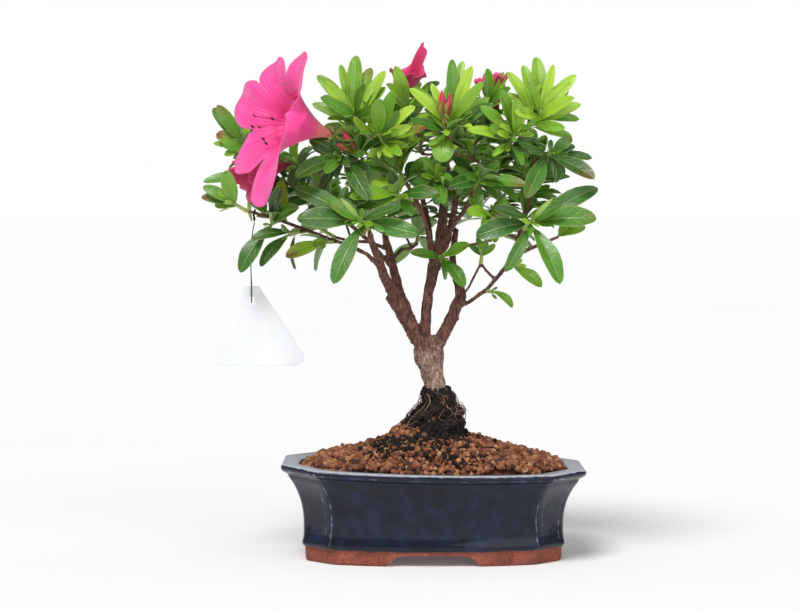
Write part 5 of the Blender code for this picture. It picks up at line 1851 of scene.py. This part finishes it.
@dataclass
class Shoots:
    """Every leafy shoot of the tree."""

    shop: Workshop

    def stems(self) -> dict:
        """Foot and growing tip of every shoot.

        Returns:
            Both points, by name.
        """
        found = {name: (Vector(foot), Vector(top)) for name, (foot, top) in STEMS.items()}
        for i, (azimuth, height, share) in enumerate(FILL):
            a, h = radians(azimuth), radians(height)
            way = Vector((cos(a) * cos(h), sin(a) * cos(h), sin(h)))
            top = CROWN_CENTRE + way * CROWN_RADII * share
            foot = top - (way * 0.8 + UP * 0.6).normalized() * 13
            found[f"shoot_fill_{i + 1:02d}"] = (foot, top)
        return found

    def build(self) -> None:
        """Builds every shoot as one piece that replaces its CAD node."""
        stems = self.stems()
        for name in sorted(n for n in self.shop.frame["nodes"] if n.startswith("shoot_")):
            shoot = Shoot(name, *stems[name])
            leaves = BladeReader(*self.shop.cad_mesh(name)).leaves()
            LOG.info("%s: %d blades", name, len(leaves))
            shoot.grow(leaves)
            self.shop.add(f"{name}_leaves", shoot.solid, LEAVES, Slot.LEAF, (name,), 70)


@dataclass
class TwigLeaves:
    """Leaves that grow straight from the thin twigs and fill the crown between the shoots."""

    shop: Workshop
    wanted: int = 380
    spacing: float = 3.9
    thin: float = 0.15
    lowest: float = 184
    highest: float = 244
    crown: tuple = (92, 80, 76)

    def open_place(self, p: Vector) -> bool:
        """True where the photographed crown has leaves close to a twig.

        Args:
            p: the place.

        Returns:
            Whether it has.
        """
        if p.z < self.lowest or p.z > self.highest:
            return False
        if abs(p.x - 8) < 26 and p.y < 8 and p.z < 203:
            return False
        return not (p.x < -50 and p.y < -14)

    def build(self, wood: Object) -> None:
        """Adds leaves at scattered points of the thin wood.

        Args:
            wood: the finished bark.
        """
        draw = Random(31)
        mesh = wood.data
        thick = np.empty(len(mesh.vertices), np.float32)
        mesh.attributes["thick"].data.foreach_get("value", thick)
        thin = [i for i in range(len(thick)) if thick[i] < self.thin]
        draw.shuffle(thin)
        solid, taken = Solid(), set()
        for i in thin:
            vertex = mesh.vertices[i]
            p = vertex.co / MM - self.shop.shift
            cell = tuple(round(value / self.spacing) for value in p)
            if cell in taken or not self.open_place(p):
                continue
            outward = (p - CROWN_CENTRE).normalized()
            stray = Vector((draw.gauss(0, 1), draw.gauss(0, 1), draw.gauss(0, 0.6)))
            way = (outward * 0.7 + vertex.normal * 0.9 + stray * 0.35 + UP * 0.15).normalized()
            length = draw.uniform(11, 19) + 5 * (1 - fade(p.z, 205, 228))
            chord = way * length
            tip = p + chord
            out = sum((gap / reach) ** 2 for gap, reach in zip(tip - CROWN_CENTRE, self.crown))
            if out > 0.97 or tip.z < 180:
                continue
            taken.add(cell)
            face = square_to(UP + FRONT * 0.45 + outward * 0.3, chord)
            width, bend = length * draw.uniform(0.31, 0.42), draw.uniform(0.25, 0.8)
            leaf = Leaf(p - vertex.normal * 0.3, tip, face, width, bend)
            shade = clipped(draw.gauss(0.4 + 0.2 * fade(tip.z, 190, 255), 0.18), 0.02, 0.95)
            leaf.blade(solid, draw, shade, 0.0, False)
            if len(taken) >= self.wanted:
                break
        LOG.info("%d twig leaves", len(taken))
        self.shop.add("twig_leaves", solid, LEAVES, Slot.LEAF, (), 70)


# Blooms

TUBE_RADIUS = 2.0
LOBE_GAP = radians(72)


class Lobe(NamedTuple):
    """A petal lobe: its turn about the axis, how far out and along it its tip lies, cleft and slimness."""

    turn: float
    out: float
    far: float
    cleft: float = 0.0
    slim: float = 1.0


@dataclass(frozen=True)
class Bloom:
    """A funnel-shaped flower of five lobes, with its stalk and sepals."""

    name: str
    twig: tuple
    foot: tuple
    way: tuple
    lobes: tuple
    throat: tuple
    finish: Finish
    slot: Slot
    notch: float = 0.42
    wave: float = 1.2
    columns: int = 150
    rows: int = 16
    flare: float = 2.2

    def frame(self) -> tuple:
        """The bloom's axis, the upward direction across it and the sideways one.

        Returns:
            The three directions.
        """
        axis = Vector(self.way).normalized()
        up = square_to(UP, axis)
        return axis, up, axis.cross(up)

    def reach(self, turn: float) -> tuple:
        """The edge in one direction from the axis.

        Args:
            turn: the direction, in radians.

        Returns:
            The edge's share of the way to the lobe's tip, the tip's radius and height, and how near
            the lobe's middle it is, from 0 to 1.
        """
        lobes = [Lobe(*lobe) for lobe in sorted(self.lobes)]
        turns = [radians(lobe.turn) for lobe in lobes]
        for i, start in enumerate(turns):
            end = turns[(i + 1) % len(turns)] + (2 * pi if i == len(turns) - 1 else 0)
            offset = (turn - start) % (2 * pi)
            if offset <= end - start:
                t = offset / (end - start)
                a, b = lobes[i], lobes[(i + 1) % len(lobes)]
                blend = fade(t, 0.2, 0.8)
                radius, height = a.out + (b.out - a.out) * blend, a.far + (b.far - a.far) * blend
                depth = abs(2 * t - 1)
                notch = a.cleft or self.notch * min(1.0, LOBE_GAP / (end - start))
                swell = math.sqrt(max(0.0, 1 - (1 - depth) ** 2.2)) ** (a if t < 0.5 else b).slim
                return notch + (1 - notch) * swell, radius, height, depth
        return 1.0, lobes[0].out, lobes[0].far, 1.0

    def point(self, turn: float, s: float) -> Vector:
        """A point of the petals: s from 0 at the tube's foot to 1 at the throat and 2 at the edge.

        Args:
            turn: turn about the axis, in radians.
            s: the way along the petals.

        Returns:
            The point.
        """
        axis, up, side = self.frame()
        mouth_radius, mouth_height = self.throat
        extent, tip_radius, tip_height, depth = self.reach(turn)
        if s <= 1:
            radius = TUBE_RADIUS + (mouth_radius - TUBE_RADIUS) * s**self.flare
            radius *= 1 + 0.05 * cos(turn * 5) * s
            height = mouth_height * s
        else:
            t = (s - 1) * extent
            rise = 2 * t - t * t
            radius = mouth_radius + (tip_radius - mouth_radius) * (0.35 * t + 0.65 * t * t)
            height = mouth_height + (tip_height - mouth_height) * rise
            edge = (s - 1) ** 2
            frill = sin(turn * 8 + 1) + 0.4 * sin(turn * 17 + 2)
            height += self.wave * edge * frill * 0.8
            height -= 0.9 * self.wave * depth**3 * sin(pi * min(s - 1, 1))
            radius += 0.4 * self.wave * edge * sin(turn * 11)
        return Vector(self.foot) + axis * height + spoke(turn, up, side) * radius

    def petals(self) -> Solid:
        """The petals as one thin closed sheet.

        Returns:
            The sheet.
        """
        levels = [i / 9 for i in range(10)] + [1 + (i + 1) / self.rows for i in range(self.rows)]
        turns = [2 * pi * i / self.columns for i in range(self.columns)]
        outer = [[self.point(turn, s) for turn in turns] for s in levels]
        inner = []
        for r, ring in enumerate(outer):
            moved = []
            for i, p in enumerate(ring):
                around = ring[(i + 1) % len(ring)] - ring[i - 1]
                along = outer[min(r + 1, len(outer) - 1)][i] - outer[max(r - 1, 0)][i]
                moved.append(p + along.cross(around).normalized() * 0.4)
            inner.append(moved)
        up, middle = self.frame()[1], Vector(self.foot)
        if (inner[3][0] - middle).project(up).length > (outer[3][0] - middle).project(up).length:
            inner = [[p + (p - q) * -2 for p, q in zip(a, b)] for a, b in zip(inner, outer)]
        rings = outer + list(reversed(inner[1:]))
        shares = levels + list(reversed(levels[1:]))
        sides = [0.0] * len(levels) + [1.0] * (len(levels) - 1)
        along, turned, blotch = [], [], []
        for s, inside_of in zip(shares, sides):
            for turn in turns:
                near = math.exp(-((((math.degrees(turn) - 8) + 180) % 360 - 180) / 34) ** 2)
                along.append(s)
                turned.append(turn)
                blotch.append(0.85 * near * fade(s, 0.85, 1.1) * (1 - fade(s, 1.55, 1.9)) * inside_of)
        solid = Solid()
        solid.add(*loft(rings), along=along, turn=turned, blotch=blotch)
        return solid

    def stalk(self) -> Solid:
        """The stalk, its cup and five pointed sepals.

        Returns:
            All three as one solid.
        """
        axis, up, side = self.frame()
        start, end = Vector(self.twig), Vector(self.foot) - axis * 0.3
        bend = start.lerp(end, 0.45) - axis
        knots = [(*(start - axis * 0.2), 0.95), (*bend, 0.85), (*(end - axis * 2.2), 1.1)]
        knots += [(*(end - axis), 2.3), (*end, 2.6)]
        path, radii = smooth_path(knots, 4)
        solid = Solid()
        solid.add(*tube(path, radii, 14), along=0.2)
        for i in range(5):
            turn = 2 * pi * (i + 0.3) / 5
            radial = spoke(turn, up, side)
            root = end - axis * 0.8 + radial * 2.1
            leaf = Leaf(root, root + axis * 3.6 + radial * 2.0, (radial - axis * 0.5).normalized(), 2.8, 0.5)
            part = Solid()
            leaf.blade(part, Random(i), 0.5, 0)
            solid.add(part.points, part.faces, along=[0.5 + 0.5 * a for a in part.marks["along"]])
        return solid

    def build(self, shop: Workshop) -> None:
        """Adds petals and stalk."""
        shop.add(f"{self.name}_corolla", self.petals(), self.finish, self.slot, (f"{self.name}_petals",), 180)
        shop.add(f"{self.name}_calyx", self.stalk(), CALYX, Slot.CALYX, (f"{self.name}_stalk",), 60)


BLOOMS = (
    Bloom(
        "bloom_large", (-48.5, -34, 226.5), (-55.0, -37, 230.6), (-0.867, -0.423, 0.265),
        (
            (-25, 38, 32, 0.5, 1.3), (28, 36, 35, 0.74, 1.0), (74, 40, 41, 0.4, 1.0),
            (140, 39, 37, 0.32, 1.3), (198, 52, 36, 0.5, 2.0), (268, 12, 32, 0.58, 0.8),
        ),
        (14, 23), FRESH, Slot.PETAL, 0.42, 1.3, 240, 22, 1.6,
    ),
    Bloom(
        "bloom_lower", (-74.0, -6, 214.5), (-79.5, -9, 215.5), (-0.8, -0.28, -0.35),
        ((-20, 14, 27), (60, 12, 29), (130, 15, 25), (200, 16, 22), (270, 13, 26)), (7, 15), OLD,
        Slot.OLD_PETAL, 0.6, 1.3, 120, 12,
    ),
    Bloom(
        "bloom_top_left", (-19.5, -4, 240.0), (-20.0, -7, 245), (0.3, -0.18, 0.95),
        ((262, 6, 37.5), (335, 10, 20), (35, 10, 20), (110, 11, 22), (190, 10, 23)), (6.0, 12), OLD,
        Slot.OLD_PETAL, 0.5, 1.4, 110, 12,
    ),
    Bloom(
        "bloom_top_right", (33.5, -4, 239.0), (34.0, -7, 243.5), (-0.1, -0.15, 0.96),
        ((-30, 10, 19), (40, 9, 21), (110, 10, 18), (180, 11, 17), (255, 9, 20)), (6.0, 11), OLD,
        Slot.OLD_PETAL, 0.6, 1.4, 110, 12,
    ),
)

# Turn about the large bloom's axis, how far out and along the tip lies, thickness
FILAMENTS = (
    (150, 9, 37, 0.22), (120, 12, 31, 0.2), (95, 5, 27, 0.2), (178, 13, 31, 0.2), (160, 15, 27, 0.2),
    (95, 11, 35, 0.3),
)


@dataclass
class Stamens:
    """The large bloom's stamens and pistil."""

    shop: Workshop
    bloom: Bloom

    def build(self) -> None:
        """Builds filaments, anthers and the pistil's head."""
        axis, up, side = self.bloom.frame()
        base = self.bloom.point(0, 0.25).lerp(self.bloom.point(pi, 0.25), 0.5)
        solid = Solid()
        ovary = [base + axis * height for height in (0.6, 2.0, 3.4, 5.0)]
        solid.add(*tube(ovary, [0.7, 0.95, 0.8, 0.4], 10), along=0.1)
        for turn, out, far, thick in FILAMENTS:
            radial = spoke(radians(turn), up, side)
            tip = base + axis * far + radial * out
            knots = [base + axis * 2.5 + radial * 0.2, base + axis * far * 0.45 + radial * out * 0.12]
            knots.append(base + axis * far * 0.8 + radial * out * 0.62)
            path, radii = smooth_path([(*k, thick) for k in [*knots, tip]], 6)
            solid.add(*tube(path, radii, 6), along=0.5 if thick > 0.25 else 0.05)
            lean = (axis + up * 0.5).normalized()
            head = [tip - lean * 1.2, tip - lean * 0.8, tip, tip + lean * 0.8, tip + lean * 1.2]
            solid.add(*tube(head, [0.25, 0.5, 0.6, 0.5, 0.2], 8), along=0.6 if thick > 0.25 else 1.2)
        self.shop.add("bloom_large_filaments", solid, STAMEN, Slot.STAMEN, ("bloom_large_stamens",), 60)


# Flower buds, as (where the stalk leaves the twig, ((foot, tip, radius), ...))
BUD_CLUSTERS = {
    "bud_left": (
        (-41.5, -31, 219.5),
        (((-43.0, -34, 223.5), (-48.9, -37, 233.0), 2.2), ((-45.5, -35, 222.5), (-52.0, -42.3, 225.6), 1.5)),
    ),
    "bud_centre": (
        (5.0, -34.5, 236.0),
        (((4.8, -36, 240.5), (4.0, -38, 254.5), 1.9), ((6.5, -37, 240.5), (8.6, -40, 253.0), 1.5)),
    ),
}


@dataclass
class Buds:
    """The flower buds, each a pointed roll of petals in brown scales.

    A roll is drawn through rings at shares of its length, each with its share of the radius.
    """

    shop: Workshop
    sides: int = 20
    shares: tuple = (0, 0.1, 0.22, 0.36, 0.5, 0.64, 0.78, 0.9, 1.0)
    sizes: tuple = (0.45, 0.7, 0.88, 1.0, 1.0, 0.85, 0.6, 0.33, 0.06)
    scales: int = 4

    def build(self) -> None:
        """Builds both clusters."""
        for name, (start, buds) in BUD_CLUSTERS.items():
            solid = Solid()
            start = Vector(start)
            for foot, tip, radius in buds:
                foot, tip = Vector(foot), Vector(tip)
                way = tip - foot
                stalk = [start, start.lerp(foot, 0.4), foot + way * 0.15]
                solid.add(*tube(stalk, [0.8, 0.8, 0.9], 8), along=0.0)
                self.roll(solid, foot, way, radius)
            self.shop.add(f"{name}_roll", solid, BUD, Slot.BUD, (name,), 60)

    def roll(self, solid: Solid, foot: Vector, way: Vector, radius: float) -> None:
        """One bud, twisted like rolled petals, over four scales.

        Args:
            solid: what it is added to.
            foot: where it starts.
            way: from there to its tip.
            radius: its radius.
        """
        rings, along, across = [], [], None
        for share, size in zip(self.shares, self.sizes):
            centre = foot + way * share
            ring, across = ring_at(centre, way, radius * size, self.sides, across)
            turned = []
            for i, p in enumerate(ring):
                ridge = 1 + 0.1 * cos(5 * (2 * pi * i / self.sides) + 2.2 * share)
                turned.append(centre + (p - centre) * ridge)
            rings.append(turned)
            along += [0.35 + share] * self.sides
        solid.add(*loft(rings), along=along)
        axis = way.normalized()
        for i in range(self.scales):
            out = Matrix.Rotation(i * pi / 2 + 0.4, 3, axis) @ across
            root = foot - axis * 0.3 + out * radius * 0.35
            tip = foot + way * (0.5 + 0.06 * i) + out * radius * 1.02
            leaf = Leaf(root, tip, square_to(out, tip - root), radius * 1.5, 0.9)
            part = Solid()
            leaf.blade(part, Random(i), 0.5, 0)
            solid.add(part.points, part.faces, along=[0.1 * a for a in part.marks["along"]])


# Label on its thread, with the tie's and the hole's middle and the thread's way from knot to end

TIE = Vector((-97.6, -10.05, 188.9))
KNOT_BOTTOM = TIE.z - 4.6
TAG_HOLE = Vector((-99.2, -10.0, 141.0))
THREAD_RADIUS = 0.28
THREAD_ROUTE = (
    (-97.6, -10.05, 184.0), (-97.6, -10.05, 182.5), (-98.0, -10.1, 181.5), (-99.4, -10.8, 172),
    (-99.4, -11.1, 160), (-99.2, -11.4, 149), (-99.2, -11.3, 142), (-99.2, -10.0, 140),
    (-99.2, -8.7, 142), (-99.2, -8.5, 149), (-99.3, -10.3, 154.5),
)


@dataclass
class Label:
    """The bare milky label, its thread and the tie round the twig."""

    shop: Workshop
    twig_radius: float = 1.2
    wire: float = 0.35
    hole_radius: float = 2.5
    thick: float = 0.9
    apex: float = TAG_HOLE.z + 8.0
    apex_half: float = 5.2
    foot: float = 105.4
    corner: float = 5.0
    half: float = 24.6
    middle: float = -95.4

    def build(self) -> None:
        tag, tie = self.tag(), self.tie()
        curve = bpy.data.curves.new("thread_line", "CURVE")
        curve.dimensions = "3D"
        curve.bevel_depth = THREAD_RADIUS * MM
        curve.bevel_resolution = 3
        curve.use_fill_caps = True
        spline = curve.splines.new("POLY")
        path = [(Vector(p) + self.shop.shift) * MM for p in THREAD_ROUTE]
        spline.points.add(len(path) - 1)
        for point, place in zip(spline.points, path):
            point.co = (*place, 1.0)
        curve.materials.append(THREAD.material())
        made = linked("thread_line", curve)
        self.shop.dress(made, Slot.THREAD, ("thread",))

    def outline(self, inset: float) -> list:
        """The tag's rounded triangle, drawn in by inset.

        Args:
            inset: how far.

        Returns:
            Its points, as (x, z).
        """
        turns = [radians(turn - 90) for turn in range(0, 121, 10)]
        radius = self.corner - inset
        corner = [(radius * cos(turn), radius * sin(turn)) for turn in turns]
        reach, low = self.half - self.corner, self.foot + self.corner
        right = [(self.middle + reach + x, low + z) for x, z in corner]
        left = [(self.middle - reach - x, low + z) for x, z in reversed(corner)]
        slope = []
        for step in range(5):
            t = pi / 2 * step / 4
            x = self.apex_half - 2 + (2 - inset) * cos(t)
            slope.append((x, self.apex - 2 + (2 - inset) * sin(t)))
        apex = [(TAG_HOLE.x + x, z) for x, z in slope]
        apex += [(TAG_HOLE.x - x, z) for x, z in reversed(slope)]
        return right + apex + left

    def tag(self) -> Object:
        """The tag: a thin sheet with a soft edge and a round hole.

        Returns:
            The piece.
        """
        half = self.thick / 2
        rows = ((-half + 0.2, 0.0), (-half, 0.22), (-half, 1.2), (half, 1.2), (half, 0.22), (half - 0.2, 0.0))
        shells = [[Vector((x, TAG_HOLE.y + y, z)) for x, z in self.outline(inset)] for y, inset in rows]
        outer, back = shells[:3], shells[3:]
        count = len(outer[0])
        hole = []
        for y in (-half, half):
            ring = []
            for p in outer[2]:
                way = Vector((p.x - TAG_HOLE.x, 0, p.z - TAG_HOLE.z)).normalized()
                ring.append(TAG_HOLE + way * self.hole_radius + Vector((0, y, 0)))
            hole.append(ring)
        rings = [*outer, hole[0], hole[1], *back]
        points = [p for ring in rings for p in ring]
        faces = []
        for r in range(len(rings)):
            after = (r + 1) % len(rings)
            for i in range(count):
                j = (i + 1) % count
                faces.append((r * count + i, r * count + j, after * count + j, after * count + i))
        solid = Solid()
        solid.add(points, faces, along=0.5)
        return self.shop.add("plain_tag", solid, TAG, Slot.TAG_PLASTIC, ("tag",), 30)

    def tie(self) -> Object:
        """The thread's loop round the twig and its knot.

        Returns:
            The piece.
        """
        along = Vector((-14, 2, 4)).normalized()
        down = (-UP + UP.project(along)).normalized()
        wide = self.twig_radius + 0.3 + self.wire
        rings = []
        for i in range(33):
            out = Matrix.Rotation(2 * pi * i / 32, 3, along) @ down
            rings.append(ring_at(TIE + out * wide, out.cross(along), self.wire, 8, out)[0])
        solid = Solid()
        solid.add(*loft(rings), along=0.5)
        top = TIE - UP * wide
        path = [top - UP * drop for drop in (-0.2, 0.5, 1.3, 2.0)]
        path.append(Vector((top.x, top.y, KNOT_BOTTOM)))
        solid.add(*tube(path, [0.3, 0.62, 0.78, 0.6, 0.36], 10), along=0.5)
        return self.shop.add("thread_loop", solid, THREAD, Slot.THREAD, ("thread_tie",), 60)


# Studio


@dataclass
class Studio:
    """Camera, floor, soft lights and a white surround.

    Lengths are in metres. A light has a name, the way to it, its width in degrees and its power.
    """

    shop: Workshop
    distance: float = 1.3
    elevation: float = radians(2.47)
    focal_pixels: float = 2364
    frame_pixels: float = 800
    sensor: float = 36.0
    target_left: float = 0.0182
    target_height: float = 0.13795
    floor_radius: float = 30.0
    floor_sides: int = 48
    lights: tuple = (("key", (-0.3, -0.7, 1.0), 24, 2.35), ("side", (0.7, -1.0, 0.45), 50, 0.75))
    ambient: float = 0.32

    def camera(self) -> None:
        """The camera at the photograph's angle."""
        data = bpy.data.cameras.new("camera")
        data.sensor_width = self.sensor
        data.lens = self.focal_pixels / self.frame_pixels * self.sensor
        shift = self.shop.shift * MM
        target = Vector((shift.x - self.target_left, shift.y, self.target_height))
        back = Vector((0, -cos(self.elevation), sin(self.elevation)))
        made = linked("camera", data)
        made.location = target + back * self.distance
        made.rotation_euler = (-back).to_track_quat("-Z", "Y").to_euler()
        bpy.context.scene.camera = made

    def floor(self) -> None:
        """A wide pale floor."""
        mesh = bpy.data.meshes.new("floor")
        turns = [2 * pi * i / self.floor_sides for i in range(self.floor_sides)]
        ring = [(self.floor_radius * cos(t), self.floor_radius * sin(t), 0) for t in turns]
        mesh.from_pydata(ring, [], [tuple(range(self.floor_sides))])
        mesh.materials.append(Backdrop("pale_floor").material())
        made = linked("floor", mesh)

    def light(self, name: str, way: tuple, angle: float, power: float) -> None:
        """A soft light from far off; way points from the tree to it.

        Args:
            name: its name.
            way: the direction.
            angle: its width in degrees.
            power: its strength.
        """
        data = bpy.data.lights.new(name, "SUN")
        data.energy = power
        data.angle = radians(angle)
        linked(name, data).rotation_euler = (-Vector(way)).to_track_quat("-Z", "Y").to_euler()

    def build(self) -> None:
        """Sets floor, lights, surround and tone."""
        self.floor()
        for light in self.lights:
            self.light(*light)
        world = bpy.data.worlds.new("surround")
        world.use_nodes = True
        graph = Graph(world.node_tree)
        surround = world.node_tree.nodes["Background"].inputs
        surround["Color"].default_value = (1, 1, 1, 1)
        seen = graph.node("ShaderNodeLightPath").outputs["Is Camera Ray"]
        graph.feed(surround["Strength"], graph.plus(graph.times(seen, 1 - self.ambient), self.ambient))
        bpy.context.scene.world = world
        bpy.context.scene.view_settings.view_transform = "Standard"


def corners(bounds: tuple) -> list:
    """Bounds as plain lists."""
    return [list(corner) for corner in bounds]


def main() -> None:
    """Loads the frame and builds every piece in order."""
    logging.basicConfig(level=logging.INFO, format="%(name)s %(message)s", force=True)
    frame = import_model()
    low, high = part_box("pot")
    shift = Vector(((low[0] + high[0]) / 2, (low[1] + high[1]) / 2, 0)) / MM
    shop = Workshop(frame, shift)
    studio = Studio(shop)
    studio.camera()
    Label(shop).build()
    studio.build()
    Pot(shop).build()
    for node in ("drain_screen_left", "drain_screen_right"):
        for place in frame["nodes"][node].material_slots:
            place.material = SCREEN.material()
    AkadamaBed(shop).build()
    RootBall(shop).build()
    wood = Wood(shop).build()
    Shoots(shop).build()
    TwigLeaves(shop).build(wood)
    for bloom in BLOOMS:
        bloom.build(shop)
    Stamens(shop, BLOOMS[0]).build()
    Buds(shop).build()


if __name__ == "__main__":
    main()
